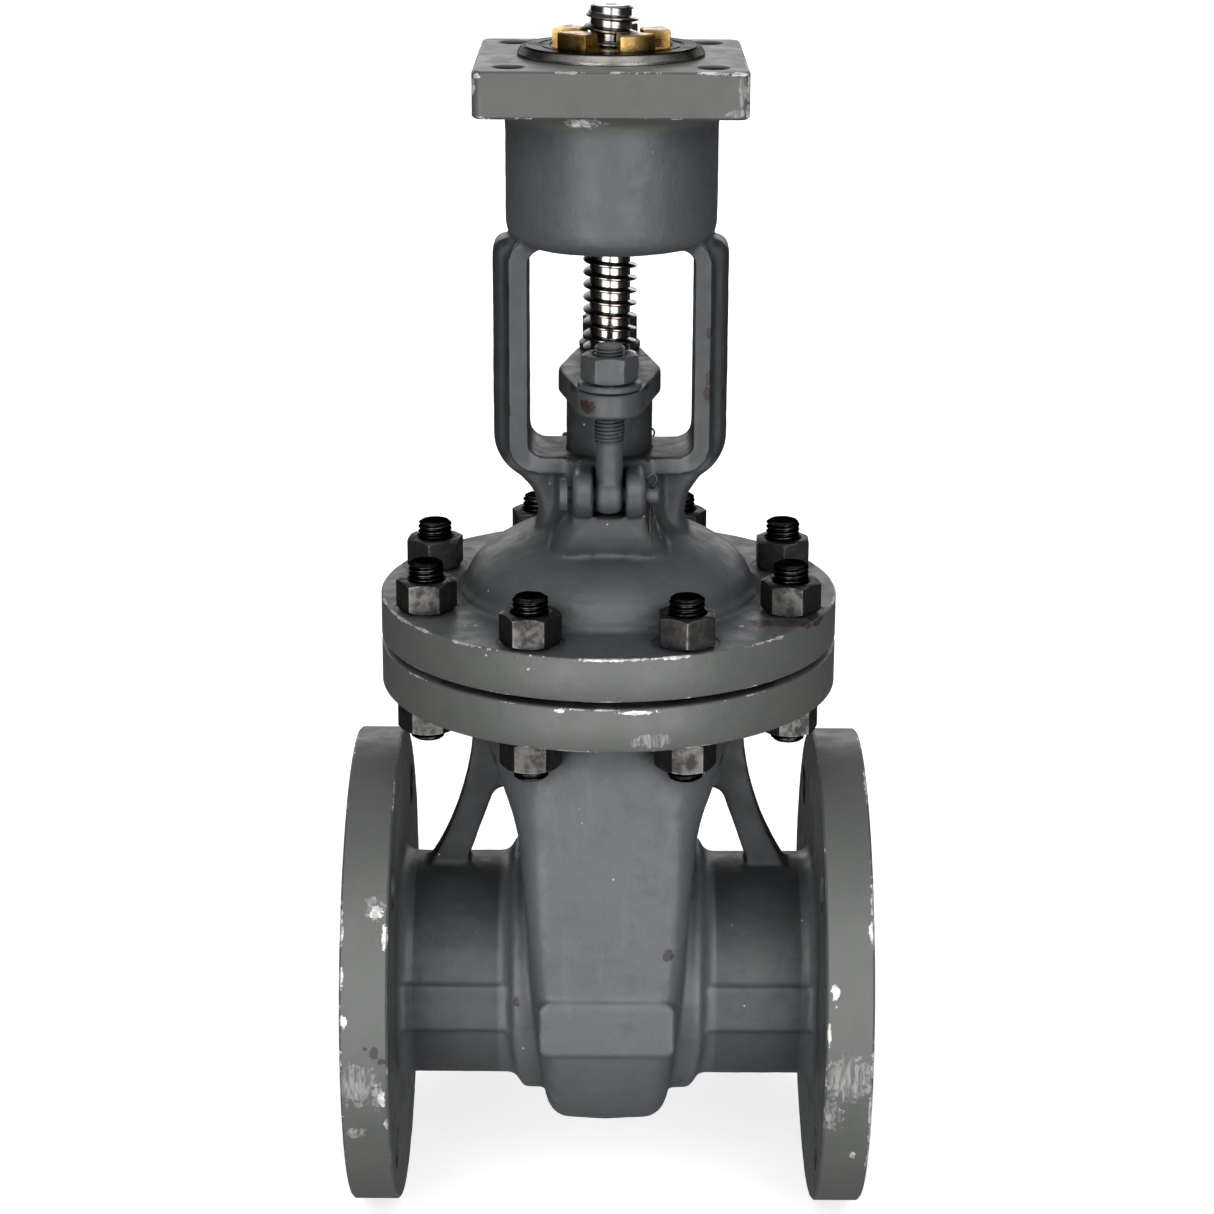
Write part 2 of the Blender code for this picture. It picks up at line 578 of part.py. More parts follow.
def make_joint():
    turned("bonnet_gasket", [(55 * MM, BONNET_BOTTOM - GAP), (69 * MM, BONNET_BOTTOM - GAP),
                             (69 * MM, BODY_FLANGE_TOP + GAP), (55 * MM, BODY_FLANGE_TOP + GAP)],
           material=GRAPHITE, closed=True)
    chamfer = MM
    stud = turned("stud_1", [(0, STUD_TOP), (STUD_R - chamfer, STUD_TOP), (STUD_R, STUD_TOP - chamfer),
                             (STUD_R, STUD_BOTTOM + chamfer), (STUD_R - chamfer, STUD_BOTTOM),
                             (0, STUD_BOTTOM)], sides=SMALL_ROUND, material=STUD_STEEL)
    nut = hex_nut("upper_nut_1", NUT_CORNER_R, NUT_BORE_R, NUT_HEIGHT, NUT_STEEL)
    for i in range(STUD_COUNT):
        x, y = stud_place(i)
        if i == 0:
            stud.location = (x, y, 0)
            nut.location = (x, y, BONNET_FLANGE_TOP + GAP)
            upper = nut
        else:
            copy_at(f"stud_{i + 1}", stud, (x, y, 0))
            upper = copy_at(f"upper_nut_{i + 1}", nut, (x, y, BONNET_FLANGE_TOP + GAP))
        upper.rotation_euler.z = math.radians(UPPER_NUT_TURNS[i])
        copy_at(f"lower_nut_{i + 1}", nut, (x, y, BODY_FLANGE_BOTTOM - GAP - NUT_HEIGHT),
                math.radians(LOWER_NUT_TURNS[i]))


# ---- stuffing box and gland ------------------------------------------------------------------------
def ring(name, inner, outer, bottom, top, material):
    return turned(name, [(inner, top), (outer, top), (outer, bottom), (inner, bottom)], MEDIUM_ROUND,
                  material, closed=True)


def make_packing():
    ring("backseat_bush", STEM_SHANK_R + GAP, BUSH_R, 176 * MM, 188.7 * MM, BRASS)
    ring("packing_washer", STEM_SHANK_R + GAP, GLAND_SLEEVE_R, 190.3 * MM, PACKING_BOTTOM - GAP, NUT_STEEL)
    for i in range(PACKING_RINGS):
        bottom = PACKING_BOTTOM + i * PACKING_RING_HEIGHT
        ring(f"packing_ring_{i + 1}", STEM_SHANK_R + GAP, GLAND_SLEEVE_R, bottom,
             bottom + PACKING_RING_HEIGHT - GAP, GRAPHITE)


def make_gland():
    """Follower sleeve with an oval flange, its two ears over the eyebolts."""
    sleeve_bottom = PACKING_BOTTOM + PACKING_RINGS * PACKING_RING_HEIGHT + GAP
    gland = turned("gland", [(0, GLAND_FLANGE_BOTTOM + MM), (GLAND_SLEEVE_R, GLAND_FLANGE_BOTTOM + MM),
                             (GLAND_SLEEVE_R, sleeve_bottom), (0, sleeve_bottom)], MEDIUM_ROUND, GREY_PAINT)
    lean = math.degrees(math.asin((GLAND_CENTRE_R - EAR_R) / EYEBOLT_Y))
    quarter = arc(0, 0, GLAND_CENTRE_R, 0, lean, 2) + arc(0, EYEBOLT_Y, EAR_R, lean, 90, 6)
    half = quarter + [(-x, y) for x, y in reversed(quarter)]
    outline = half + [(-x, -y) for x, y in half]
    ease = MM
    rings = []
    for z, inset in ((GLAND_FLANGE_TOP, ease), (GLAND_FLANGE_TOP - ease, 0), (GLAND_FLANGE_BOTTOM, 0)):
        rings.append([(x * (1 - inset / GLAND_CENTRE_R), y * (1 - inset / (EYEBOLT_Y + EAR_R)), z)
                      for x, y in clean_outline(outline)])
    fuse(gland, loft("gland_flange", rings))
    cut(gland, cylinder("gland_bore", STEM_SHANK_R + 2 * GAP, (0, 0, 200 * MM), (0, 0, 260 * MM),
                        MEDIUM_ROUND))
    for side in (1, -1):
        cut(gland, cylinder(f"ear_hole_{side}", EYEBOLT_THREAD_R + 2 * GAP, (0, side * EYEBOLT_Y, 240 * MM),
                            (0, side * EYEBOLT_Y, 260 * MM), SMALL_ROUND))
    return gland


def clean_outline(points):
    """The same outline without a point that repeats the one before it."""
    kept = []
    for x, y in points:
        if not kept or math.dist(kept[-1], (x, y)) > 0.05 * MM:
            kept.append((x, y))
    return kept[:-1] if math.dist(kept[0], kept[-1]) < 0.05 * MM else kept


def make_eyebolt(word, side):
    """Eyebolt, washer, nut, hinge pin and cotter pin of one side; side -1 is the front."""
    y = side * EYEBOLT_Y
    bolt = turned(f"eyebolt_{word}", [(0, EYEBOLT_TOP), (EYEBOLT_THREAD_R - MM, EYEBOLT_TOP),
                                      (EYEBOLT_THREAD_R, EYEBOLT_TOP - MM), (EYEBOLT_THREAD_R, 234 * MM),
                                      (EYEBOLT_SHANK_R, 232.5 * MM), (EYEBOLT_SHANK_R, EYEBOLT_PIN_Z),
                                      (0, EYEBOLT_PIN_Z)], SMALL_ROUND, GREY_PAINT)
    bolt.data.transform(Matrix.Translation((0, y, 0)))
    eye_half = LUG_INNER_X - 3 * GAP
    fuse(bolt, cylinder(f"eye_{word}", EYE_R, (-eye_half, y, EYEBOLT_PIN_Z), (eye_half, y, EYEBOLT_PIN_Z),
                        MEDIUM_ROUND))
    cut(bolt, cylinder(f"eye_hole_{word}", PIN_R + GAP, (-10 * MM, y, EYEBOLT_PIN_Z),
                       (10 * MM, y, EYEBOLT_PIN_Z), SMALL_ROUND))

    washer_top = GLAND_FLANGE_TOP + 2.6 * MM
    washer = ring(f"gland_washer_{word}", EYEBOLT_THREAD_R + 2 * GAP, GLAND_WASHER_R,
                  GLAND_FLANGE_TOP + GAP, washer_top, GREY_PAINT)
    washer.data.transform(Matrix.Translation((0, y, 0)))
    nut = hex_nut(f"gland_nut_{word}", GLAND_NUT_CORNER_R, EYEBOLT_THREAD_R + 1.5 * GAP, GLAND_NUT_HEIGHT,
                  GREY_PAINT, math.radians(30))
    nut.location = (0, y, washer_top + GAP)

    head_x = LUG_OUTER_X + 1.6 * MM
    pin = turned(f"hinge_pin_{word}", [(0, PIN_END_X), (PIN_R - 0.5 * MM, PIN_END_X),
                                       (PIN_R, PIN_END_X - 0.5 * MM), (PIN_R, -head_x), (PIN_HEAD_R, -head_x),
                                       (PIN_HEAD_R, -PIN_END_X), (0, -PIN_END_X)], SMALL_ROUND, GREY_PAINT)
    along_x(pin)
    pin.data.transform(Matrix.Translation((0, y, EYEBOLT_PIN_Z)))
    cut(pin, cylinder(f"cotter_hole_{word}", 1.4 * MM, (COTTER_X, y, EYEBOLT_PIN_Z - 8 * MM),
                      (COTTER_X, y, EYEBOLT_PIN_Z + 8 * MM), 10))
    make_cotter(word, y)


def make_cotter(word, y):
    """A split pin: a loop above the hinge pin and two legs through it, one bent outwards."""
    apart = 0.62 * MM
    z = EYEBOLT_PIN_Z
    loop = arc(COTTER_X, z + 6.4 * MM, 1.9 * MM, -60, 240, 8)
    path = [(COTTER_X + apart + 3 * MM, z - 17.5 * MM), (COTTER_X + apart + 0.6 * MM, z - 8.5 * MM),
            (COTTER_X + apart, z - 4.5 * MM), (COTTER_X + apart, z + 4 * MM)] + loop
    path += [(COTTER_X - apart, z + 4 * MM), (COTTER_X - apart, z - 4.5 * MM),
             (COTTER_X - apart, z - 19.5 * MM)]
    curve = bpy.data.curves.new(f"cotter_pin_{word}", "CURVE")
    curve.dimensions = "3D"
    curve.bevel_depth = COTTER_WIRE_R
    curve.bevel_resolution = 1
    curve.use_fill_caps = True
    spline = curve.splines.new("POLY")
    spline.points.add(len(path) - 1)
    for point, (px, pz) in zip(spline.points, path):
        point.co = (px, y, pz, 1)
    wire = bpy.data.objects.new(f"cotter_wire_{word}", curve)
    PARTS.objects.link(wire)
    curve_to_mesh(wire, f"cotter_pin_{word}", NUT_STEEL)


# ---- stem nut and its bearings ---------------------------------------------------------------------
def make_bearing(word, bottom):
    """Thrust bearing: two washers and a caged row of balls."""
    ring(f"{word}_bearing_washer_bottom", BEARING_INNER_R, BEARING_OUTER_R, bottom, bottom + WASHER_THICKNESS,
         DARK_STEEL)
    middle = bottom + WASHER_THICKNESS + CAGE_SPACE / 2
    cage = ring(f"{word}_ball_cage", BEARING_INNER_R + MM, BEARING_OUTER_R - MM, middle - 1.2 * MM,
                middle + 1.2 * MM, DARK_STEEL)
    track = (BEARING_INNER_R + BEARING_OUTER_R) / 2
    for i in range(BALL_COUNT):
        angle = 2 * math.pi * i / BALL_COUNT
        place = Matrix.Translation((track * math.cos(angle), track * math.sin(angle), middle))
        ball = add_object(f"{word}_ball_{i}", mesh_from(lambda work: bmesh.ops.create_uvsphere(
            work, u_segments=8, v_segments=4, radius=CAGE_SPACE / 2 - GAP, matrix=place)))
        fuse(cage, ball)
    top = bottom + WASHER_THICKNESS + CAGE_SPACE
    ring(f"{word}_bearing_washer_top", BEARING_INNER_R, BEARING_OUTER_R, top, top + WASHER_THICKNESS,
         DARK_STEEL)
    return top + WASHER_THICKNESS


def make_stem_nut():
    collar_bottom = make_bearing("lower", LOWER_BEARING_Z) + GAP
    collar_top = collar_bottom + 6.4 * MM
    upper_top = make_bearing("upper", collar_top + GAP)
    tail_r = 16 * MM                   # of the plain end below the lower bearing
    bore = STEM_THREAD_R + GAP
    bearing_seat_r = BEARING_INNER_R - GAP
    nut = turned("stem_nut", [(bore, DOG_TOP), (NUT_BUSH_R, DOG_TOP), (NUT_BUSH_R, upper_top + GAP),
                              (bearing_seat_r, upper_top + GAP), (bearing_seat_r, collar_top),
                              (NUT_COLLAR_R, collar_top), (NUT_COLLAR_R, collar_bottom),
                              (bearing_seat_r, collar_bottom), (bearing_seat_r, LOWER_BEARING_Z + MM),
                              (tail_r, LOWER_BEARING_Z + MM), (tail_r, NUT_TAIL_BOTTOM),
                              (bore, NUT_TAIL_BOTTOM)], material=BRASS, closed=True)
    dog_floor = COVER_TOP - 0.4 * MM
    dog_bore_r = 12.6 * MM             # of the counterbore between the claws
    clear_top = DOG_TOP + MM
    cut(nut, cylinder("dog_counterbore", dog_bore_r, (0, 0, dog_floor), (0, 0, clear_top), MEDIUM_ROUND))
    across, along = math.sin(DOG_SLOT_HALF_ANGLE), math.cos(DOG_SLOT_HALF_ANGLE)
    slot = [(r * along, r * across) for r in (bore - MM, NUT_BUSH_R + 3 * MM)]
    slot += [(x, -y) for x, y in reversed(slot)]
    for dog in range(DOG_COUNT):
        corners = [[(x, y, z) for x, y in slot] for z in (dog_floor, clear_top)]
        slot_cutter = loft(f"dog_slot_{dog}", corners)
        turn = FIRST_SLOT_ANGLE + 2 * math.pi * dog / DOG_COUNT
        slot_cutter.data.transform(Matrix.Rotation(turn, 4, "Z"))
        cut(nut, slot_cutter)

    inner = NUT_BUSH_R + 0.4 * MM
    lip = PLATE_TOP + GAP
    chamfer, thread_r = 1.8 * MM, 33.2 * MM
    turned("bearing_cover", [(inner, COVER_TOP), (COVER_R - chamfer, COVER_TOP),
                             (COVER_R, COVER_TOP - chamfer), (COVER_R, lip), (thread_r, lip),
                             (thread_r, upper_top + 2 * GAP), (inner, upper_top + 2 * GAP)],
           material=DARK_STEEL, closed=True)


make_body()
make_seats()
make_wedge()
make_stem()
make_bonnet()
make_joint()
make_packing()
make_gland()
make_eyebolt("front", -1)
make_eyebolt("back", 1)
make_stem_nut()
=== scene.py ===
"""Looks of the gate valve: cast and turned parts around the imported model, in the model's own frame.

The pipe runs along X, the stem stands along +Z, and the front is -Y. The origin is on the pipe's axis.
Measures are in mm and angles in degrees until they reach Blender, which takes metres and radians.
"""
import math

import bpy
import bmesh
from mathutils import Matrix, Vector, noise


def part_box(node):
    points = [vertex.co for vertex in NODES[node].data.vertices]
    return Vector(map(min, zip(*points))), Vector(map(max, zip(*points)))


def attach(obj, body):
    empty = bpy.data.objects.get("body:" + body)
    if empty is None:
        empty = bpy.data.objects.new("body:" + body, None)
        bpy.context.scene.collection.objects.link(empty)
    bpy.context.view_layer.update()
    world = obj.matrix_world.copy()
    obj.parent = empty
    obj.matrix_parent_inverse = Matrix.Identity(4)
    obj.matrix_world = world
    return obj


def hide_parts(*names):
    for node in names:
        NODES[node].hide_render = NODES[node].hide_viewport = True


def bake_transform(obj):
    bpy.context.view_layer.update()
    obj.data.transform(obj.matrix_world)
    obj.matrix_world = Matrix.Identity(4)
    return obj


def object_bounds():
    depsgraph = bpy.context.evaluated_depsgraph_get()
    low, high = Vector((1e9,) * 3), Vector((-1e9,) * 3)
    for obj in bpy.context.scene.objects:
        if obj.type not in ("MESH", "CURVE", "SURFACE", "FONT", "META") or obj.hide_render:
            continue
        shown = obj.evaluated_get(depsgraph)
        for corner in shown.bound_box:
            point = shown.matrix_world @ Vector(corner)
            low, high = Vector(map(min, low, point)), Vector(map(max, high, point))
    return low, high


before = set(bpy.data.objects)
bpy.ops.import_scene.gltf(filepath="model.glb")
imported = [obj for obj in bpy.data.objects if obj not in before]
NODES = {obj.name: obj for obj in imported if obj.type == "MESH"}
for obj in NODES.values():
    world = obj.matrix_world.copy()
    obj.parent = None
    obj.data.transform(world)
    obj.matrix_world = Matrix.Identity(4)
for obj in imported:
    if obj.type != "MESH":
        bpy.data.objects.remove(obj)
CAD_BOX = [list(corner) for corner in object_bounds()]
MM = 0.001


def span(name):
    """The lowest and the highest z of a CAD node."""
    return [corner.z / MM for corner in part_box(name)]


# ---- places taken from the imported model
PIPE_END_X, PIPE_FLANGE_R, BODY_TOP = (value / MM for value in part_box("body")[1])
RIM_X = PIPE_END_X - 1.5
FLANGE_BACK_X = RIM_X - 18.7
JOINT_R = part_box("bonnet")[1].y / MM
JOINT_THICKNESS = 17.3
JOINT_BOTTOM = BODY_TOP - JOINT_THICKNESS
BONNET_BOTTOM, PLATE_TOP = span("bonnet")
BONNET_FLANGE_TOP = BONNET_BOTTOM + JOINT_THICKNESS
PLATE_BOTTOM = PLATE_TOP - 17.6
PLATE_HALF = 51.3
PLATE_HOLES = [(x, y) for x in (38, -38) for y in (38, -38)]
STUD_RING = 77.4
STUD_SPOTS = [(STUD_RING * math.cos(angle), STUD_RING * math.sin(angle))
              for angle in (math.radians(22.5 + 45 * index) for index in range(8))]
SPOT_FACE_R = 12.9
EYEBOLT_Y = 36
PIN_Z = 212.5
PIN_BORE = 3.5

# ---- measures of the castings: the hollow and solid sections are (z, half x, half y, corner radius)
NECK_R = 45.9
HOUSING = ((150, 61, 62.5, 60), (127, 59, 62.5, 57), (118, 54, 63.2, 48), (110, 48.6, 64.3, 36),
           (103, 44.6, 65, 27), (95, 41, 65.2, 20), (86, 37.4, 65.2, 15), (77, 35.2, 65.2, 12),
           (55, 33.4, 65.2, 10), (32, 31.2, 65.2, 9), (0, 28.7, 65.2, 8.5))
CHAMBER = ((150, 54, 54, 53), (124, 51, 54, 47), (110, 41.5, 54, 31), (90, 31, 54, 15), (70, 26.6, 54, 8),
           (-1, 20.1, 54, 5))
TAPER = 0.082
WEDGE_HALF_X = 16.6
WEDGE_R = 46.5
SEAT_R = 46
BORE_R = 39
PIPE_BOLT_RING = 80
UPPER_NUT_TURNS = (0, 37, 14, 51, 28, 27, 0, 19)
LOWER_NUT_TURNS = (0, 23, 46, 9, 32, 30, 34, 41)
CLAWS = 5
CLAW_STEP = 360 // CLAWS
FIRST_SLOT = -98
SLOT_HALF_ANGLE = 17


# ---- mesh tools
def link(name, data):
    """A new object in the scene that shows a mesh, a curve or a camera."""
    thing = bpy.data.objects.new(name, data)
    bpy.context.scene.collection.objects.link(thing)
    return thing


def from_bmesh(name, build):
    """An object whose mesh a function fills in an empty bmesh."""
    mesh = bpy.data.meshes.new(name)
    work = bmesh.new()
    build(work)
    bmesh.ops.recalc_face_normals(work, faces=work.faces)
    work.to_mesh(mesh)
    work.free()
    return link(name, mesh)


def discard(*things):
    for thing in things:
        bpy.data.objects.remove(thing, do_unlink=True)


def evaluated_mesh(thing):
    """An object's shape after its modifiers, as a mesh of its own."""
    bpy.context.view_layer.update()
    return bpy.data.meshes.new_from_object(thing.evaluated_get(bpy.context.evaluated_depsgraph_get()))


def applied(thing):
    """Make an object's modifiers part of its mesh."""
    mesh = evaluated_mesh(thing)
    thing.modifiers.clear()
    thing.data = mesh
    return thing


def boolean(operation, target, *others):
    """Join, cut or intersect the target with each of the others, which are used up."""
    for other in others:
        modifier = target.modifiers.new("boolean", "BOOLEAN")
        modifier.operation, modifier.solver, modifier.object = operation, "MANIFOLD", other
        applied(target)
        discard(other)
    return target


def cut(target, *others):
    return boolean("DIFFERENCE", target, *others)


def moved(thing, matrix):
    thing.data.transform(matrix)
    if matrix.determinant() < 0:
        thing.data.flip_normals()
    return thing


def placed(thing, x=0, y=0, z=0, turn=0):
    """Turn a thing about Z and set it down at a place."""
    place = Matrix.Translation((x * MM, y * MM, z * MM))
    return moved(thing, place @ Matrix.Rotation(math.radians(turn), 4, "Z"))


def faced(thing, side):
    """A thing made for side 1, turned about Z to face side 1 or -1."""
    return placed(thing, turn=90 - 90 * side)


def shaded(thing, angle=35):
    thing.data.shade_smooth()
    thing.data.set_sharp_from_angle(angle=math.radians(angle))
    return thing


def skin(name, rings, caps=(0, -1)):
    """A body skinned over rings of equally many points; with no capped ring the last one joins the first."""
    def build(work):
        made = [[work.verts.new(Vector(p) * MM) for p in ring] for ring in rings]
        for lower, upper in zip(made, made[1:] + ([] if caps else made[:1])):
            for i in range(len(lower)):
                j = (i + 1) % len(lower)
                work.faces.new((lower[i], lower[j], upper[j], upper[i]))
        for cap in caps:
            work.faces.new(made[cap])
    return from_bmesh(name, build)


def turned(name, profile, sides=96, hollow=False):
    """A shape turned about Z from (radius, z); a hollow one's profile closes on itself off the axis."""
    return skin(name, [circle(r, z, sides) for r, z in profile], caps=() if hollow else (0, -1))


def circle(radius, z, sides):
    return [(radius * math.cos(2 * math.pi * i / sides), radius * math.sin(2 * math.pi * i / sides), z)
            for i in range(sides)]


def arc(cx, cz, radius, start, end, steps):
    """Points on an arc."""
    angles = [math.radians(start + (end - start) * i / steps) for i in range(steps + 1)]
    return [(cx + radius * math.cos(a), cz + radius * math.sin(a)) for a in angles]


def rounded(half_x, half_y, radius, at_x=0, at_y=0):
    """Outline of a rectangle with round corners."""
    outline = []
    for corner, (sx, sy) in enumerate(((1, 1), (-1, 1), (-1, -1), (1, -1))):
        cx, cy = at_x + sx * (half_x - radius), at_y + sy * (half_y - radius)
        outline += arc(cx, cy, radius, corner * 90, corner * 90 + 90, 8)
    return outline


def at_height(outline, z):
    return [(x, y, z) for x, y in outline]


def slab(name, outline, low_y, high_y):
    """An outline of (x, z), given thickness along Y."""
    return skin(name, [[(x, y, z) for x, z in outline] for y in (low_y, high_y)])


def shrunk(outline, by):
    """A closed outline drawn in, each point along the mean of its two sides' normals."""
    made = []
    for before, here, after in zip(outline[-1:] + outline[:-1], outline, outline[1:] + outline[:1]):
        run = Vector(after) - Vector(before)
        made.append(tuple(Vector(here) + Vector((-run.y, run.x)).normalized() * by * turning(outline)))
    return made


def turning(outline):
    """1 for an outline that runs anticlockwise and -1 for a clockwise one."""
    area = sum(a[0] * b[1] - b[0] * a[1] for a, b in zip(outline, outline[1:] + outline[:1]))
    return math.copysign(1, area)


def block(name, low, high):
    outline = [(low[0], low[2]), (high[0], low[2]), (high[0], high[2]), (low[0], high[2])]
    return slab(name, outline, low[1], high[1])


def side_block(name, side, half_x, near_y, far_y, low_z, high_z):
    """A block on one side of the XZ plane, as wide to the left as to the right."""
    low_y, high_y = sorted((side * near_y, side * far_y))
    return block(name, (-half_x, low_y, low_z), (half_x, high_y, high_z))


def lay_x(thing, side=1):
    """Lay a shape that was turned about Z along +X, or along -X."""
    return moved(thing, Matrix.Rotation(math.radians(90 * side), 4, "Y"))


def bar(name, radius, start, end, sides=48):
    """A round cutter or core between two points."""
    start, end = Vector(start), Vector(end)
    run = end - start
    thing = turned(name, [(radius, 0), (radius, run.length)], sides)
    turn = run.to_track_quat("Z", "Y").to_matrix().to_4x4()
    return moved(thing, Matrix.Translation(start * MM) @ turn)


def joined(name, things):
    """One object out of several, whose shells may overlap."""
    def build(work):
        for thing in things:
            work.from_mesh(thing.data)
    made = from_bmesh(name, build)
    discard(*things)
    return made


def cast(thing, voxel, rounds, roughness, seed):
    """Melt overlapping shells into one cast surface, with rounded joins and slight unevenness."""
    remesh = thing.modifiers.new("melt", "REMESH")
    remesh.mode = "VOXEL"
    remesh.voxel_size = voxel * MM
    smooth = thing.modifiers.new("smooth", "SMOOTH")
    smooth.factor = 0.5
    smooth.iterations = rounds
    applied(thing)
    shift = Vector((seed, seed * 0.7, seed * 1.3))
    for vertex, normal in zip(thing.data.vertices, [n.vector.copy() for n in thing.data.vertex_normals]):
        broad = noise.noise(vertex.co / (17 * MM) + shift)
        fine = noise.noise(vertex.co / (4.5 * MM) + shift)
        vertex.co += normal * (broad * 0.65 + fine * 0.35) * roughness * MM
    return thing


# ---- shader tools
class Value:
    """A number or vector in a material's node tree, for writing its sums as plain expressions."""

    def __init__(self, tree, socket):
        self.tree, self.socket = tree, socket

    def math(self, operation, *others):
        node = self.tree.nodes.new("ShaderNodeMath")
        node.operation = operation
        return self.through(node, *others)

    def through(self, node, *others):
        """What a node makes of this value and others, in the order of its inputs."""
        for slot, item in zip(node.inputs, (self, *others)):
            feed(self.tree, item, slot)
        return Value(self.tree, node.outputs[0])

    def __add__(self, other):
        return self.math("ADD", other)

    def __sub__(self, other):
        return self.math("SUBTRACT", other)

    def __mul__(self, other):
        return self.math("MULTIPLY", other)

    def __rsub__(self, other):
        return (self * -1) + other

    __radd__, __rmul__ = __add__, __mul__

    def abs(self):
        return self.math("ABSOLUTE")

    def low(self, other):
        return self.math("MINIMUM", other)

    def high(self, other):
        return self.math("MAXIMUM", other)

    def ramp(self, start, end, to_low=0.0, to_high=1.0):
        """Smooth step between two values of this one."""
        node = self.tree.nodes.new("ShaderNodeMapRange")
        node.interpolation_type = "SMOOTHSTEP"
        return self.through(node, start, end, to_low, to_high)


def length(*parts):
    """Length of a vector of numbers."""
    total = parts[0] * parts[0]
    for part in parts[1:]:
        total = total + part * part
    return total.math("SQRT")


def feed(tree, item, socket):
    if isinstance(item, Value):
        tree.links.new(item.socket, socket)
    else:
        socket.default_value = item


def new_node(tree, kind, **inputs):
    """A shader node with its inputs by name."""
    node = tree.nodes.new("ShaderNode" + kind)
    for key, item in inputs.items():
        feed(tree, item, node.inputs[key])
    return node


def coordinates(tree, kind):
    """A texture coordinate, whole and as its three parts."""
    place = Value(tree, new_node(tree, "TexCoord").outputs[kind])
    split = new_node(tree, "SeparateXYZ", Vector=place)
    return place, [Value(tree, socket) for socket in split.outputs]


class Paint:
    """One procedural material: its coordinates, its textures and the shader they end in."""

    def __init__(self, name, colour, metallic, roughness, **inputs):
        self.material = bpy.data.materials.new(name)
        self.material.use_nodes = True
        self.tree = self.material.node_tree
        self.shader = self.tree.nodes["Principled BSDF"]
        self.set(Metallic=metallic, Roughness=roughness, **inputs)
        self.place, axes = coordinates(self.tree, "Object")
        self.x, self.y, self.z = (axis * (1 / MM) for axis in axes)
        rgb = new_node(self.tree, "RGB")
        rgb.outputs[0].default_value = (*colour, 1)
        self.colour = self.output(rgb, 0)
        self.ragged = None

    def set(self, **inputs):
        """Give inputs of the shader a number, a colour or a value."""
        for key, item in inputs.items():
            feed(self.tree, item, self.shader.inputs[key.replace("_", " ")])

    def output(self, node, key):
        return Value(self.tree, node.outputs[key])

    def noise(self, size, detail=3.0, rough=0.5, stretch=(1, 1, 1), shift=0.0):
        """Noise of about 0 to 1 whose features are about size mm."""
        mapping = new_node(self.tree, "Mapping", Vector=self.place, Scale=stretch, Location=(shift, shift, shift))
        node = new_node(self.tree, "TexNoise", Vector=self.output(mapping, 0), Scale=1 / (size * MM),
                        Detail=detail, Roughness=rough)
        return self.output(node, "Fac")

    def cells(self, size):
        return self.output(new_node(self.tree, "TexVoronoi", Vector=self.place, Scale=1 / (size * MM)), "Distance")

    def blend(self, mask, colour):
        """Lay a colour over what is there, as far as the mask says."""
        node = self.tree.nodes.new("ShaderNodeMix")
        node.data_type = "RGBA"
        feed(self.tree, mask, node.inputs[0])
        feed(self.tree, self.colour, node.inputs[6])
        feed(self.tree, (*colour, 1), node.inputs[7])
        self.colour = self.output(node, 2)

    def hollows(self, reach):
        """1 in the open and 0 deep in a corner."""
        node = new_node(self.tree, "AmbientOcclusion", Distance=reach * MM)
        node.samples = 8
        return self.output(node, "AO")

    def edges(self):
        """About 0.5 on flat faces and more on edges that stand out."""
        return self.output(new_node(self.tree, "NewGeometry"), "Pointiness")

    def corners(self, reach):
        """0 on flat faces and up to about 0.1 within some mm of an edge."""
        bevel = new_node(self.tree, "Bevel", Radius=reach * MM)
        bevel.samples = 4
        flat = self.output(new_node(self.tree, "NewGeometry"), "Normal")
        dot = self.tree.nodes.new("ShaderNodeVectorMath")
        dot.operation = "DOT_PRODUCT"
        feed(self.tree, self.output(bevel, 0), dot.inputs[0])
        feed(self.tree, flat, dot.inputs[1])
        return 1 - self.output(dot, "Value")

    def near(self, *mark):
        """1 inside a ragged blot and 0 outside; a mark is its place and its half-widths along the axes."""
        offsets = [(axis - centre) * (1 / reach) for axis, centre, reach in
                   zip((self.x, self.y, self.z), mark[:3], mark[3:])]
        if not self.ragged:
            self.ragged = self.noise(2.2, 4.0, 0.7, shift=2) - 0.5
        return (length(*offsets) + self.ragged * 2.6).ramp(1.0, 0.86)

    def finish(self, relief=(), **inputs):
        """Connect the colour, a bump from (value, depth in mm) pairs, and other inputs of the shader."""
        self.set(Base_Color=self.colour, **inputs)
        below = {}
        for value, depth in relief:
            bump = new_node(self.tree, "Bump", Strength=1.0, Distance=depth * MM, Height=value, **below)
            below = {"Normal": self.output(bump, 0)}
        self.set(**below)
        return self.material


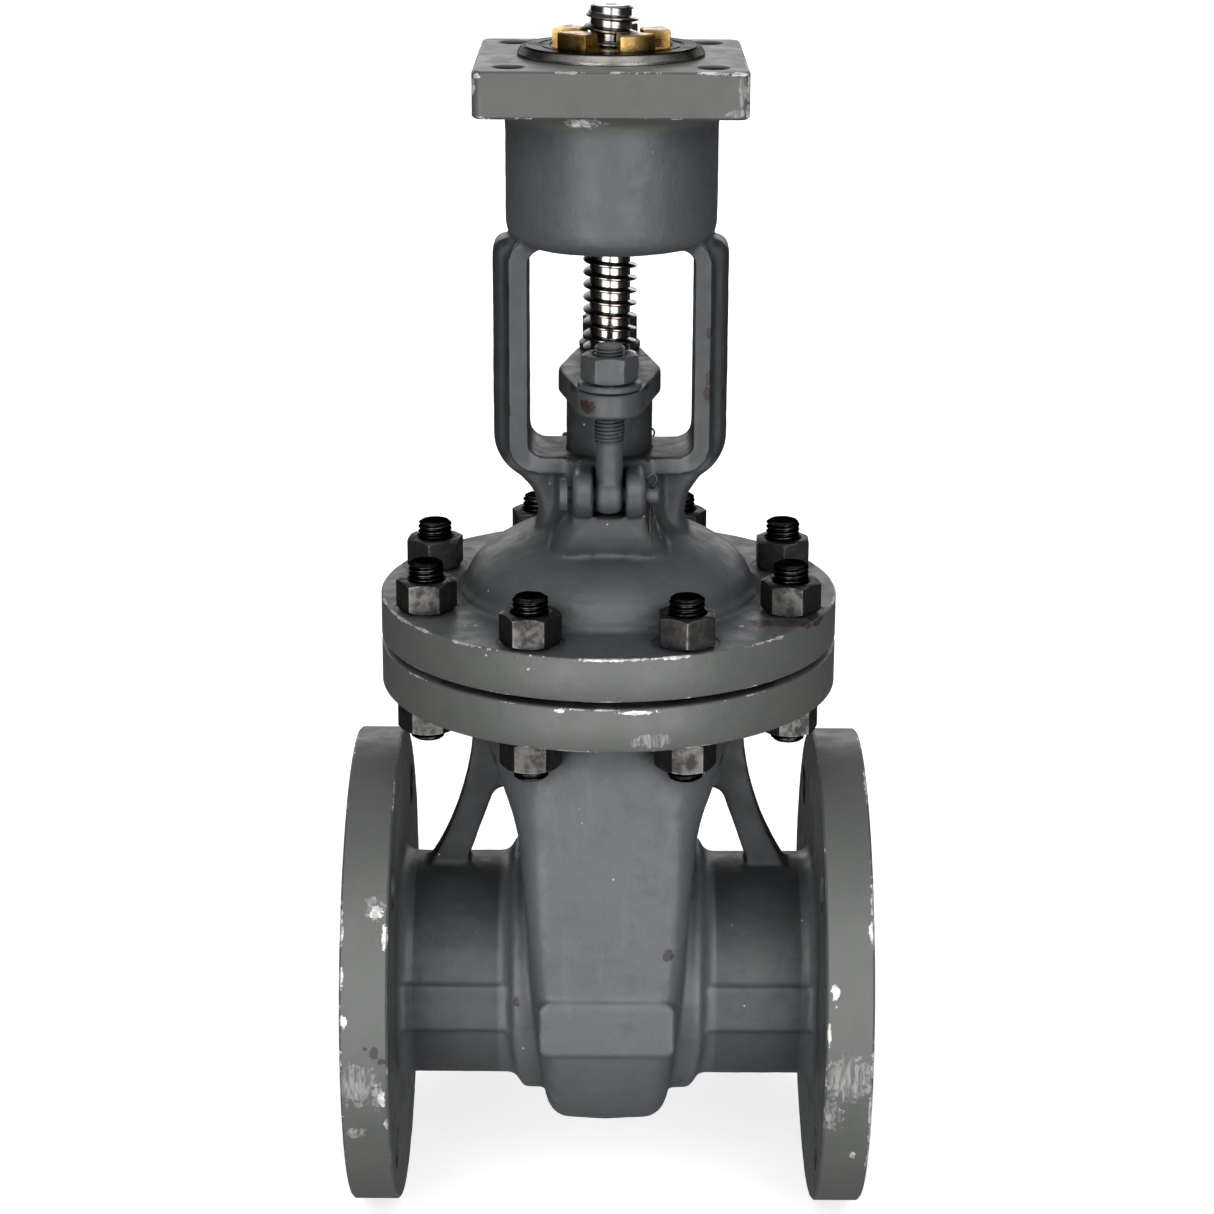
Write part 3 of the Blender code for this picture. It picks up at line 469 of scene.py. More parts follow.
# ---- materials
def casting_paint(name, edge_rings=(), marks=(), scrapes=(), brown_marks=(), dark_marks=(), sharp=None,
                  shade_zones=(), feet=(), wells=()):
    """Grey semi-gloss paint over a cast surface: chips on rims and edges, painted shade with grime in corners, marks
    by place.

    An edge ring is (its axis, radius, place along the axis, width). A zone of painted shade is (from and to along
    X on both sides, from and to along Z, strength, softness of its lower edge). Sharp is a plate's half width,
    bottom and top; the plate's top face gets a painted highlight. Feet are places of nuts on the bonnet's flange,
    ringed with painted shade, and wells those of holes in the plate, painted dark inside as shade.
    """
    paint = Paint(name, (0.056, 0.063, 0.068), 0.0, 0.42)
    across, radius = paint.x.abs(), length(paint.x, paint.y)
    broad, middle, fine = paint.noise(42, 3), paint.noise(9, 4, 0.6), paint.noise(1.6, 3, 0.6)
    paint.blend(broad.ramp(0.35, 0.68), (0.066, 0.071, 0.073))
    paint.blend(middle.ramp(0.50, 0.75) * 0.5, (0.040, 0.045, 0.049))
    paint.blend(fine.ramp(0.52, 0.75) * 0.3, (0.036, 0.040, 0.043))
    streaks = paint.noise(7, 3, 0.6, stretch=(1, 1, 0.22), shift=3)
    paint.blend(streaks.ramp(0.55, 0.75) * 0.4, (0.088, 0.092, 0.091))
    grime = paint.noise(11, 3, 0.6, shift=9)
    # painted shade with grime: ambient occlusion darkens the paint in corners and hollows, broken up by grime noise;
    # the same mask also dulls the specular
    shade_and_grime = paint.hollows(30).ramp(0.95, 0.30) * grime.ramp(0.0, 0.6)
    paint.blend(shade_and_grime * 0.9, (0.010, 0.011, 0.012))
    # painted shade: zones whose paint is darkened where the lamps leave them too bright, such as the necks under the
    # joint flange, the yoke, the dome and the drum
    for low_x, high_x, low_z, high_z, depth, soft in shade_zones:
        zone = across.ramp(low_x - 1, low_x + 1) * across.ramp(high_x, high_x - 1)
        zone = zone * paint.z.ramp(low_z - soft, low_z) * paint.z.ramp(high_z + 4, high_z)
        zone = zone * (grime * 0.4 + 0.8) * depth
        paint.blend(zone, (0.014, 0.015, 0.016))
        shade_and_grime = shade_and_grime.high(zone)
    patches, ragged = paint.noise(26, 3, 0.62, shift=5), paint.noise(2.6, 4, 0.72, shift=1)
    wear = patches.ramp(0.42, 0.66)
    rub = (paint.edges() + (ragged - 0.5) * 0.10).ramp(0.555, 0.60) * wear
    paint.blend(rub * 0.55, (0.20, 0.205, 0.205))
    chips = rub * 0
    for axis, ring_r, ring_at, width in edge_rings:
        radial, along = (length(paint.y, paint.z), across) if axis == "x" else (radius, paint.z)
        by_ring = (along - ring_at).abs().ramp(22, 19)
        paint.blend(radial.ramp(ring_r - 2, ring_r - 1) * by_ring * 0.6, (0.068, 0.071, 0.066))
        gap = length(radial - ring_r, along - ring_at)
        reach = (wear * 1.3 + 0.10) * width
        chips = chips.high((gap + (ragged - 0.47) * (width * 3.2)).ramp(reach, reach * 0.7))
    if sharp:
        half, bottom, top = sharp
        side = across.high(paint.y.abs()) - half
        corner = length(across - half, paint.y.abs() - half)
        paint.blend(paint.z.ramp(bottom - 7, bottom - 5) * 0.7, (0.060, 0.062, 0.055))
        # painted highlight: the plate's top face is made lighter, standing in for the sheen it catches at a grazing
        # angle
        paint.blend(paint.z.ramp(top - 0.4, top - 0.1) * (0.55 + middle * 0.6), (0.11, 0.11, 0.106))
        gap = length(side, paint.z - top).low(length(side, paint.z - bottom)).low(corner)
        reach = (wear * 1.4 + 0.15) * 0.9
        chips = chips.high((gap + (ragged - 0.47) * 3.0).ramp(reach, reach * 0.7))
    brushed = paint.noise(1.6, 4, 0.7, stretch=(1, 1, 0.16), shift=11)
    for mark in marks:
        chips = chips.high(paint.near(*mark))
    for mark in scrapes:
        paint.blend(paint.near(*mark) * brushed.ramp(0.36, 0.66) * 0.8, (0.25, 0.25, 0.245))
    shades = paint.noise(3.2, 2, shift=7).ramp(0.35, 0.62)
    paint.blend(chips, (0.62, 0.615, 0.60))
    paint.blend(chips * shades * 0.75, (0.24, 0.235, 0.225))
    # painted shade: a dark ring round the foot of each nut on the bonnet's flange, where nut and flange meet
    for x, y in feet:
        gap = (length(paint.x - x, paint.y - y) - SPOT_FACE_R).abs() + (paint.z - BONNET_FLANGE_TOP).abs()
        paint.blend((gap + (ragged - 0.45) * 2.4).ramp(0.75, 0.4) * 0.85, (0.012, 0.011, 0.010))
    # painted shade: the plate's holes are blackened inside, where little light reaches
    for x, y in wells:
        well_shade = length(paint.x - x, paint.y - y).ramp(7, 6.8) * paint.z.ramp(PLATE_TOP - 0.3, PLATE_TOP - 1.3)
        well_shade = well_shade * paint.z.ramp(PLATE_TOP - 30.3, PLATE_TOP - 25.3)
        paint.blend(well_shade * 0.9, (0.008, 0.008, 0.008))
        shade_and_grime = shade_and_grime.high(well_shade)
    specks = (paint.cells(7.5) + (fine - 0.5) * 0.10).ramp(0.075, 0.05) * patches.ramp(0.5, 0.6)
    paint.blend(specks * 0.8, (0.05, 0.045, 0.04))
    light_specks = (paint.cells(11) + (fine - 0.5) * 0.08).ramp(0.05, 0.03) * broad.ramp(0.45, 0.6)
    paint.blend(light_specks * 0.7, (0.40, 0.40, 0.39))
    rust = rub * 0
    for mark in brown_marks:
        rust = rust.high(paint.near(*mark))
    paint.blend(rust * 0.95, (0.013, 0.008, 0.006))
    paint.blend(rust * shades * 0.5, (0.040, 0.024, 0.015))
    for mark in dark_marks:
        paint.blend(paint.near(*mark) * 0.9, (0.010, 0.010, 0.010))
    relief = [(broad, 0.6), (middle, 0.26), (fine, 0.11), (chips.high(rust), -0.12)]
    return paint.finish(relief, Roughness=middle.ramp(0.3, 0.7, 0.36, 0.52) + chips * 0.05,
                        Metallic=chips * 0.55, Specular_IOR_Level=(shade_and_grime * -0.85 + 1) * 0.5)


def steel(name, colour, dark, roughness, grain=(1, 1, 1), rust=0.0, oil=0.0, bright_edges=0.0, sheen=1.0):
    """Bare metal: uneven tone, stains, oil in its hollows and edges rubbed bright."""
    paint = Paint(name, colour, 1.0, roughness, Specular_Tint=(sheen, sheen, sheen, 1))
    stains, fine = paint.noise(5, 4, 0.62), paint.noise(0.9, 3, 0.6, stretch=grain)
    paint.blend(stains.ramp(0.40, 0.62) * 0.85, dark)
    if oil:
        paint.blend(paint.hollows(4).ramp(0.9, 0.45) * oil, (0.006, 0.006, 0.006))
    if bright_edges:
        worn = paint.corners(0.7).ramp(0.004, 0.05) * stains.ramp(0.62, 0.40)
        paint.blend(worn * bright_edges, (0.24, 0.235, 0.22))
    if rust:
        paint.blend(paint.noise(8, 4, 0.66, shift=4).ramp(0.56, 0.70) * rust, (0.11, 0.055, 0.03))
    gloss = stains.ramp(0.3, 0.7, roughness * 0.8, roughness * 1.45)
    return paint.finish([(fine, 0.05), (stains, 0.12)], Roughness=gloss)


def stem_metal():
    """Bright worn thread with black grease, heaviest on the left and near the gland."""
    paint = Paint("bright_stem_steel", (0.56, 0.535, 0.50), 1.0, 0.12)
    turning_marks = paint.noise(1.2, 3, 0.6, stretch=(0.2, 0.2, 2.5))
    smears = paint.noise(6, 4, 0.65)
    paint.blend(turning_marks.ramp(0.45, 0.7) * 0.4, (0.42, 0.39, 0.36))
    radial = length(paint.x, paint.y)
    flank = radial.ramp(8.0, 8.3) * radial.ramp(10.42, 10.25)
    paint.blend(radial.ramp(10.3, 10.45) * 0.8, (0.26, 0.22, 0.18))
    left = (paint.x + (smears - 0.5) * 8).ramp(-4.0, -7.5)
    low = (paint.z + (smears - 0.5) * 10).ramp(261, 257)
    top = (paint.z + (smears - 0.5) * 6).ramp(378, 384) * 0.4
    grease = left.high(low * 0.7).high(top).high(smears.ramp(0.64, 0.72))
    paint.blend((flank * 0.9).high(grease * 0.85), (0.012, 0.011, 0.010))
    rough = grease.ramp(0.0, 1.0, 0.11, 0.26) + turning_marks * 0.05
    return paint.finish([(turning_marks, 0.03), (smears, 0.10)], Roughness=rough)


def brass_metal():
    """Worn brass, brown in its hollows."""
    paint = Paint("brass", (0.40, 0.225, 0.05), 1.0, 0.30)
    stains, fine = paint.noise(4.5, 4, 0.6), paint.noise(0.8, 3, 0.6)
    paint.blend(stains.ramp(0.42, 0.62) * 0.85, (0.085, 0.040, 0.008))
    paint.blend(paint.hollows(5).ramp(0.85, 0.4) * 0.85, (0.03, 0.02, 0.01))
    paint.blend((paint.edges() + (fine - 0.5) * 0.04).ramp(0.53, 0.58) * 0.5, (0.50, 0.35, 0.13))
    return paint.finish([(fine, 0.05), (stains, 0.15)], Roughness=stains.ramp(0.3, 0.7, 0.22, 0.42))


def cover_metal():
    """Nearly black bearing cover whose chamfer is lighter: polished by wear, and a painted highlight that keeps it to
    the front.
    """
    paint = Paint("dark_bearing_cover", (0.024, 0.023, 0.022), 1.0, 0.30, Specular_Tint=(0.3, 0.3, 0.3, 1))
    rings = paint.noise(1.5, 3, 0.6, stretch=(0.6, 0.6, 3))
    stains = paint.noise(7, 4, 0.6)
    paint.blend(stains.ramp(0.5, 0.7) * 0.6, (0.012, 0.011, 0.010))
    rim = length(paint.x, paint.y).ramp(34.2, 34.6)
    # painted highlight: the light chamfer fades out towards the back, so it shines only at the front
    paint.blend(rim * (stains * 0.3 + 0.7) * paint.y.ramp(0.0, -30, 0.3, 1.0), (0.42, 0.405, 0.375))
    return paint.finish([(rings, 0.04)], Roughness=stains.ramp(0.3, 0.7, 0.18, 0.32))


def dull(name, colour, other, size, roughness):
    """A plain dry material with two tones and a fine grain."""
    paint = Paint(name, colour, 0.0, roughness)
    patches, fine = paint.noise(size, 4, 0.6), paint.noise(size * 0.15, 3, 0.6)
    paint.blend(patches.ramp(0.4, 0.65), other)
    gloss = patches.ramp(0.3, 0.7, roughness - 0.1, roughness + 0.1)
    return paint.finish([(patches, 0.12), (fine, 0.06)], Roughness=gloss)


BODY_PAINT = casting_paint(
    "grey_paint_body",
    edge_rings=(("x", PIPE_FLANGE_R, RIM_X, 1.1), ("x", PIPE_FLANGE_R, FLANGE_BACK_X, 0.55),
                ("z", JOINT_R, BODY_TOP, 0.5), ("z", JOINT_R, JOINT_BOTTOM, 0.6)),
    marks=((11, -91, 142.8, 7, 14, 0.9), (-18, -90, 143, 2.0, 7, 0.7), (-89.5, -80, 56, 2.6, 7, 2.4),
           (-86, -85, 48, 1.3, 7, 4.2), (-102.8, -82, 49, 1.0, 7, 4), (-102.6, -90, 34, 0.9, 7, 4),
           (-101.5, -95, 18, 1.4, 7, 2.4), (88.2, -92, 30, 1.7, 7, 3.4), (102.4, -82, 50, 1.2, 7, 5.5),
           (86, -96, 14, 0.8, 7, 6), (97, -88, -43, 1.0, 7, 2), (-87.5, -96, -15, 1.5, 7, 3.6),
           (-86, -94, -27, 1.1, 7, 2.2)),
    scrapes=((16, -90, 131.5, 7.5, 15, 2.6), (-97, -97, -9, 8, 16, 9), (-89, -97, -14, 2.6, 7, 6),
             (94, -97, -5, 10, 20, 9.5), (88, -96, -22, 4, 8, 7), (-98, -94, -32, 4, 8, 3), (-90, -80, 58, 4, 8, 4)),
    brown_marks=((24, -65, 32, 2.5, 7, 2.4), (-36.5, -50, 5, 1.2, 7, 2.2)),
    dark_marks=((-90, -97, 5, 1.7, 7, 3.2), (-93.5, -97, 7, 1.0, 7, 1.2), (-87, -97, 1.5, 1.6, 7, 1.4)),
    shade_zones=((44, 79, -80, 106, 0.40, 6), (44, 79, 28, 106, 0.6, 18)))
BONNET_PAINT = casting_paint(
    "grey_paint_bonnet",
    edge_rings=(("z", JOINT_R, BONNET_BOTTOM, 0.6), ("z", JOINT_R, BONNET_FLANGE_TOP, 0.9)),
    marks=((-11, -42, 357, 4.6, 9.2, 1.5), (-4, -91.5, 164, 20, 1.4, 1.0), (49, -51, 376.6, 6, 1.6, 0.8),
           (50.8, -51, 371, 0.9, 7, 5), (-49.5, -51, 375.5, 2.2, 1.6, 1.1), (-50.6, -51, 372, 0.8, 7, 4),
           (36, -51, 376.9, 4, 1.2, 0.6), (-15, -51, 376.9, 5, 1.2, 0.5), (-30, -90, 158.5, 0.7, 7, 0.6),
           (50.5, -51, 363, 0.8, 7, 3), (24, -41, 302, 0.8, 7, 0.8)),
    scrapes=((-10, -42, 357, 8, 16, 2), (48.5, -51, 370, 1.5, 7, 5), (46, -51, 362, 4, 7, 1.5)),
    brown_marks=((38.6, -18, 272.6, 1.3, 7, 2.0), (38.6, -18, 254.8, 1.4, 7, 2.6), (38.4, -18, 248.6, 1.6, 7, 2.9),
                 (60, -47, 164.2, 5, 5, 2.5), (70, -47, 164.2, 9, 5, 2.5), (82, -40, 164.2, 5, 7, 2.5),
                 (46, -10, 300, 0.8, 7, 2.8), (44.6, -11, 247, 0.7, 7, 4)),
    dark_marks=((-39.5, -18, 262, 0.7, 7, 5), (-39.5, -18, 288, 0.6, 7, 4), (-39, -18, 241, 0.7, 7, 3),
                # the last dark mark below is painted shade on the recessed wall between the front lugs
                (16, -18, 223.5, 4.5, 6, 2.4), (-15, -18, 222.8, 5, 6, 1.8), (0, -28.4, 213, 8, 3, 10)),
    sharp=(PLATE_HALF, PLATE_BOTTOM, PLATE_TOP),
    shade_zones=((31, 60, 222, 304, 0.5, 6), (39.6, 60, 222, 306, 0.8, 6), (-5, 60, 196, 214, 0.5, 30),
           (-5, 80, 306, 376.6, 0.22, 6)),
    feet=STUD_SPOTS, wells=PLATE_HOLES)
TRIM_PAINT = casting_paint(
    "grey_paint_trim", shade_zones=((-5, 40, 150, 300, 0.32, 6),), brown_marks=((-9.2, -47, 249.6, 3.3, 7, 2.5),),
    dark_marks=((0, 36, 264, 18, 13, 9), (-15, -31, 255, 5.0, 7, 2.6), (15, -30, 255, 4.0, 6, 2.4),
                (-6, -48, 212, 2, 7, 3)))
NUT_STEEL = steel("bare_nut_steel", (0.095, 0.093, 0.089), (0.030, 0.029, 0.028), 0.40, grain=(1, 1, 0.15),
                  rust=0.15, oil=0.9, bright_edges=0.9, sheen=0.6)
STUD_STEEL = steel("oily_stud_steel", (0.034, 0.034, 0.034), (0.009, 0.009, 0.009), 0.28, oil=0.95,
                   bright_edges=0.18, sheen=0.15)
WIRE_STEEL = steel("wire_steel", (0.06, 0.06, 0.058), (0.02, 0.019, 0.018), 0.40, oil=0.3)
TRIM_STEEL = steel("machined_trim_steel", (0.42, 0.41, 0.40), (0.22, 0.20, 0.19), 0.28, rust=0.25)
BEARING_STEEL = steel("bearing_steel", (0.30, 0.30, 0.30), (0.10, 0.10, 0.10), 0.22, oil=0.5)
STEM_STEEL, BRASS, COVER_STEEL = stem_metal(), brass_metal(), cover_metal()
GRAPHITE = dull("graphite_packing", (0.030, 0.030, 0.032), (0.055, 0.055, 0.058), 4, 0.55)
GASKET = dull("gasket_sheet", (0.020, 0.020, 0.021), (0.045, 0.042, 0.040), 6, 0.7)


def add_piece(thing, body, material, slot, *replaced, angle=35):
    """Finish a piece: its shading, its material, the body it rides on and the CAD nodes it stands for."""
    shaded(thing, angle)
    thing.data.materials.clear()
    thing.data.materials.append(material)
    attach(thing, body)
    if replaced:
        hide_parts(*replaced)
    return thing


# ---- body casting
def wheel(name, half_x, radius, rounding, crown=0.0):
    """A wheel about X whose thickness follows the wedge's taper, its tread a little crowned."""
    edge = [(radius - rounding * (1 - math.cos(a)) - crown, half_x - rounding * (1 - math.sin(a)))
            for a in (math.radians(90 - 15 * step) for step in range(7))]
    edge.append((radius, 0))
    profile = [(1, half_x)] + edge + [(r, -z) for r, z in reversed(edge[:-1])] + [(1, -half_x)]
    disc = lay_x(turned(name, profile))
    for vertex in disc.data.vertices:
        vertex.co.x *= 1 + TAPER * vertex.co.z / (half_x * MM)
    return disc


def levels(name, rows):
    return skin(name, [at_height(rounded(x, y, r), z) for z, x, y, r in rows])


def pipe_end(side):
    """Neck, collar and flange of one end as the mould gave them, the flange still oversize."""
    collar_x, collar_r, draft = 44, 53, 5
    profile = [(1, 5), (52, 5), (52, 36.8), (51.3, 38.2), (49.6, 39), (47, 40.4), (NECK_R, 43)]
    profile += [(r, z) for r, z in reversed(arc(NECK_R + 5, FLANGE_BACK_X - 5, 5, 90, 180, 5))]
    profile += [(PIPE_FLANGE_R + 4, FLANGE_BACK_X), (PIPE_FLANGE_R + 4, 110), (1, 110)]
    end = lay_x(turned(f"end_{side}", profile, 128), side)
    for vertex in end.data.vertices:         # the collar draws in towards the bottom
        out = math.hypot(vertex.co.y, vertex.co.z) / MM
        if abs(vertex.co.x) < collar_x * MM and NECK_R - 1 < out < collar_r:
            vertex.co.x -= side * draft * MM * max(0.0, -vertex.co.z / (52 * MM)) ** 2
    return end


def rib(side):
    """Plate under the joint flange with a concave outer edge and a window beside the housing."""
    edge_x, edge_z, edge_r = 55, 110, 119.7
    outer = arc(edge_x + edge_r, edge_z, edge_r, 180, 180 + 33.4, 18)
    window = arc(42.6, 74.5, 5, 20, 90, 6)
    outline = [(30, 130), (edge_x, 130)] + outer + [(58, 42), (57, 49)] + window + [(30, 79.5)]
    return faced(slab(f"rib_{side}", outline, -6, 6), side)


def seat_tilt(side):
    """Square to one face of the wedge, on the pipe's axis."""
    return Matrix.Rotation(math.radians(90 - 90 * side), 4, "Z") @ Matrix.Rotation(math.atan(TAPER), 4, "Y")


def rim_ring(name, radius, low, high):
    """Cutter that trims a cast disc to a turned rim between two heights, its edges eased."""
    ease, outer = 0.7, 125
    inner = [(radius - ease - 0.5, low - 0.5), (radius - ease, low), (radius - 0.25, low + ease * 0.4),
             (radius, low + ease), (radius, high - ease), (radius - 0.25, high - ease * 0.4),
             (radius - ease, high), (radius - ease - 0.5, high + 0.5)]
    return turned(name, inner + [(outer, high + 0.5), (outer, low - 0.5)], 160, hollow=True)


def flange_trim(side):
    """Cutter that leaves one pipe flange with a turned rim, a raised face and its opening."""
    radius, back, rim, ease = PIPE_FLANGE_R, FLANGE_BACK_X, RIM_X, 0.8
    inner = [(radius - ease - 0.6, back - 0.6), (radius - ease, back), (radius, back + ease),
             (radius, rim - ease), (radius - ease, rim), (66.5, rim), (66.2, PIPE_END_X), (30, PIPE_END_X),
             (30, 118), (125, 118), (125, back - 0.6)]
    return lay_x(turned(f"flange_trim_{side}", inner, 192, hollow=True), side)


def make_body():
    things = [levels("housing", HOUSING), wheel("housing_bottom", 28.7, 65.0, 10, 0.8)]
    things.append(turned("joint_disc", [(JOINT_R + 4, JOINT_BOTTOM), (JOINT_R + 4, 152)], 160))
    for side in (1, -1):
        things += [pipe_end(side), rib(side)]
        things.append(faced(slab(f"pad_{side}", rounded(27.3, 11.7, 4), 56, 67.4), side))
        for end in (1, -1):
            near_x, far_x = sorted((end * 30, end * 83))
            near_y, far_y = sorted((side * 38, side * 47.3))
            things.append(block(f"band_{side}_{end}", (near_x, near_y, -10), (far_x, far_y, 10)))
    body = cast(joined("body_casting", things), 1.15, 7, 0.28, 1.0)

    for side in (1, -1):
        cut(body, flange_trim(side))
    cut(body, rim_ring("joint_rim", JOINT_R, JOINT_BOTTOM, BODY_TOP))
    cut(body, block("joint_top", (-130, -130, BODY_TOP), (130, 130, 170)))

    cut(body, levels("chamber", CHAMBER))
    cut(body, wheel("chamber_bottom", 20.2, 54, 5))
    for side in (1, -1):
        cut(body, side_block(f"rail_room_{side}", side, 9.7, 45, 57.5, -20, 122))
        pocket = bar("pocket", SEAT_R + 0.3, (3, 0, 0), (WEDGE_HALF_X + 12.6, 0, 0), 96)
        cut(body, moved(pocket, seat_tilt(side)))
        cut(body, bar("flow_bore", BORE_R, (side * 10, 0, 0), (side * 130, 0, 0), 96))
        for y, z in arc(0, 0, PIPE_BOLT_RING, 45, 315, 3):
            cut(body, bar("pipe_hole", 9, (side * 75, y, z), (side * 120, y, z)))
    for x, y in STUD_SPOTS:
        cut(body, bar("stud_hole", 7.6, (x, y, 118), (x, y, 160), 32))
    add_piece(body, "valve_body", BODY_PAINT, "grey_paint", "body")


# ---- bonnet with its yoke, drum and plate
def yoke():
    """The two crossed plates of the yoke with the window cut through both."""
    shoulder = arc(40.6, 302.3, 5, 90, 0, 6)
    bend = arc(25.6, 230, 20, 0, -60, 12)
    foot = [(31.6, 208.6), (29.6, 205.4), (28.5, 201), (28.2, 197), (28.6, 193.5), (30, 190), (32.5, 186),
            (35, 181)]
    side = [(20, 307.3)] + shoulder + bend + foot
    outline = [(x + (1.8 if z < 212 else 0.6), z) for x, z in side] + [(-x, z) for x, z in reversed(side)]
    depths = ((11.5, 4.2), (10.9, 2.2), (9.4, 0.8), (7.2, 0))
    depths = [(-y, inset) for y, inset in depths] + list(reversed(depths))
    web = skin("web", [[(x, y, z) for x, z in shrunk(outline, inset)] for y, inset in depths])
    frame_core = boolean("UNION", web, slab("band", rounded(39.5, 47, 11.5, 0, 263), -18, 18))
    return cut(frame_core, slab("window", rounded(32.4, 41.2, 6.5, 0.6, 263.7), -60, 60))


def lug_parts(side):
    """A rounded pedestal on the dome and the two lugs that hold an eyebolt."""
    rings = [at_height(rounded(half_x, reach / 2, 11, 0, side * reach / 2), z) for z, half_x, reach in
             ((180, 25, 30), (187, 24, 35.5), (191, 22.5, 37.4), (196, 20.5, 38.2), (200, 18.5, 38.2),
              (203, 16.5, 37.4), (204, 15, 36))]
    parts = [skin(f"pedestal_{side}", rings)]
    for end in (1, -1):
        rings = []
        for thick, inset in ((6.2, 0.5), (6.7, 0), (11.4, 0), (13.2, 0.7), (14.1, 1.9), (14.4, 3.2)):
            nose = arc(EYEBOLT_Y, PIN_Z, 8.8 - inset, -90, 90, 16)
            outline = [(14, 221.2 - inset), (14, 196), (EYEBOLT_Y, 198)] + nose
            rings.append([(side * y, thick, z) for y, z in outline])
        lug = placed(skin(f"lug_{end}_{side}", rings), turn=90)
        parts.append(moved(lug, Matrix.Scale(-end, 4, (1, 0, 0))))
    return parts


def make_bonnet():
    dome = [(1, 160), (60.2, 160), (60.2, 166.2), (58.4, 167.4), (57.4, 169.6), (55.6, 173.6), (52.6, 177.2),
            (49, 180.3), (45, 182.9), (41, 185.2), (35.5, 188), (30, 191), (27, 193.5), (25, 197), (24.5, 201),
            (24.5, 222.5), (1, 222.5)]
    drum = [(1, 305), (32, 305), (35.8, 305.6), (38.6, 307.4), (40.4, 310), (41.1, 313.4), (41.2, 350),
            (41.4, 353.4), (42.4, 356.6), (44.6, 359.2), (47, 362), (1, 362)]
    disc = [(JOINT_R + 4, 143), (JOINT_R + 4, BONNET_FLANGE_TOP)]
    oversize = rounded(PLATE_HALF + 3, PLATE_HALF + 3, 6)
    things = [turned("dome", dome), yoke(), placed(turned("drum", drum), x=0.5), turned("bonnet_disc", disc, 160),
              skin("plate", [at_height(oversize, z) for z in (PLATE_BOTTOM, PLATE_TOP + 4)])]
    for side in (1, -1):
        things += lug_parts(side)
    bonnet = cast(joined("bonnet_casting", things), 1.0, 7, 0.26, 5.0)

    half, ease, corner, low, high = PLATE_HALF, 0.8, 4, PLATE_BOTTOM, PLATE_TOP
    rings = [(half - ease - 0.5, low - 0.5), (half - ease, low), (half, low + ease), (half, high - ease),
             (half - ease, high), (half - ease - 0.5, high + 0.5), (70, high + 0.5), (70, low - 0.5)]
    cut(bonnet, skin("plate_trim", [at_height(rounded(h, h, corner), z) for h, z in rings], caps=()))
    cut(bonnet, block("plate_top_trim", (-80, -80, high), (80, 80, high + 20)))
    cut(bonnet, rim_ring("bonnet_rim", JOINT_R, BONNET_BOTTOM, BONNET_FLANGE_TOP))
    cut(bonnet, block("bonnet_bottom_trim", (-130, -130, 120), (130, 130, BONNET_BOTTOM)))
    hollow = [(1, 179), (26, 178.6), (37, 175.5), (44, 171), (48, 165), (49, 160), (49, 140), (1, 140)]
    cut(bonnet, turned("bonnet_hollow", hollow))
    for radius, bottom, top in ((14.3, 170, 189), (11.6, 170, 230), (17.3, 190, 230), (17, 296, 340),
                                (31, 327.7, 390), (33.5, 361.2, 390)):
        cut(bonnet, bar("round_cut", radius, (0, 0, bottom), (0, 0, top), 72))
    for x, y in STUD_SPOTS:
        cut(bonnet, bar("stud_hole", 7.6, (x, y, 140), (x, y, 175), 32))
        spot_face = turned("spot_face", [(SPOT_FACE_R, BONNET_FLANGE_TOP - 0.15), (SPOT_FACE_R, 176)], 40)
        cut(bonnet, placed(spot_face, x, y))
    for x, y in PLATE_HOLES:
        hole = turned("plate_hole", [(5.8, 350), (5.8, high - 0.8), (6.8, high + 0.2), (6.8, 385)], 32)
        cut(bonnet, placed(hole, x, y))
    for side in (1, -1):
        y = side * EYEBOLT_Y
        cut(bonnet, bar("lug_hole", PIN_BORE, (-30, y, PIN_Z), (30, y, PIN_Z), 32))
        cut(bonnet, side_block("lug_room", side, 6.2, 28.4, 60, 203.8, 240))
    add_piece(bonnet, "valve_body", BONNET_PAINT, "grey_paint", "bonnet")


# ---- threads, studs and nuts
def helix(name, pitch, bottom, top, shape, columns, left=False):
    """A threaded rod; shape is (share of a pitch, radius) along one turn of the thread."""
    rows = len(shape)
    turns = int((top - bottom) / pitch) + 3
    count = turns * rows
    last = count - 1

    def point(row, column):
        share, radius = shape[row % rows]
        z = bottom - 1.5 * pitch + pitch * (row // rows + share + column / columns)
        angle = 2 * math.pi * column / columns * (-1 if left else 1)
        return Vector((radius * math.cos(angle), radius * math.sin(angle), z)) * MM

    def build(work):
        grid = [[work.verts.new(point(row, column)) for column in range(columns)] for row in range(count)]
        for row in range(last):
            here, above = grid[row:row + 2]
            for i in range(columns - 1):
                work.faces.new((here[i], here[i + 1], above[i + 1], above[i]))
            if row + rows + 1 < count:
                work.faces.new((here[-1], grid[row + rows][0], grid[row + rows + 1][0], above[-1]))
        lower = grid[0] + [grid[row][0] for row in range(rows, 0, -1)]
        upper = grid[last] + [grid[row][-1] for row in range(last - 1, last - rows - 1, -1)]
        for loop, height in ((lower, bottom - 1.6 * pitch), (upper, point(last, columns // 2).z / MM)):
            centre = work.verts.new(Vector((0, 0, height)) * MM)
            for first, second in zip(loop, loop[1:] + loop[:1]):
                work.faces.new((centre, first, second))
    return from_bmesh(name, build)


def threaded(name, pitch, bottom, top, crest, root, chamfer=1.0):
    """A length of thread with chamfered ends."""
    columns = 40
    shape = [(0.0, root), (0.10, root), (0.42, crest - 0.06), (0.50, crest), (0.60, crest), (0.68, crest - 0.06)]
    rod = helix(name, pitch, bottom, top, shape, columns)
    ends = [(root - chamfer * 0.2, bottom), (crest + 0.05, bottom + chamfer), (crest + 0.05, top - chamfer),
            (root - chamfer * 0.2, top)]
    return boolean("INTERSECT", rod, turned("bar", ends, columns + 9))


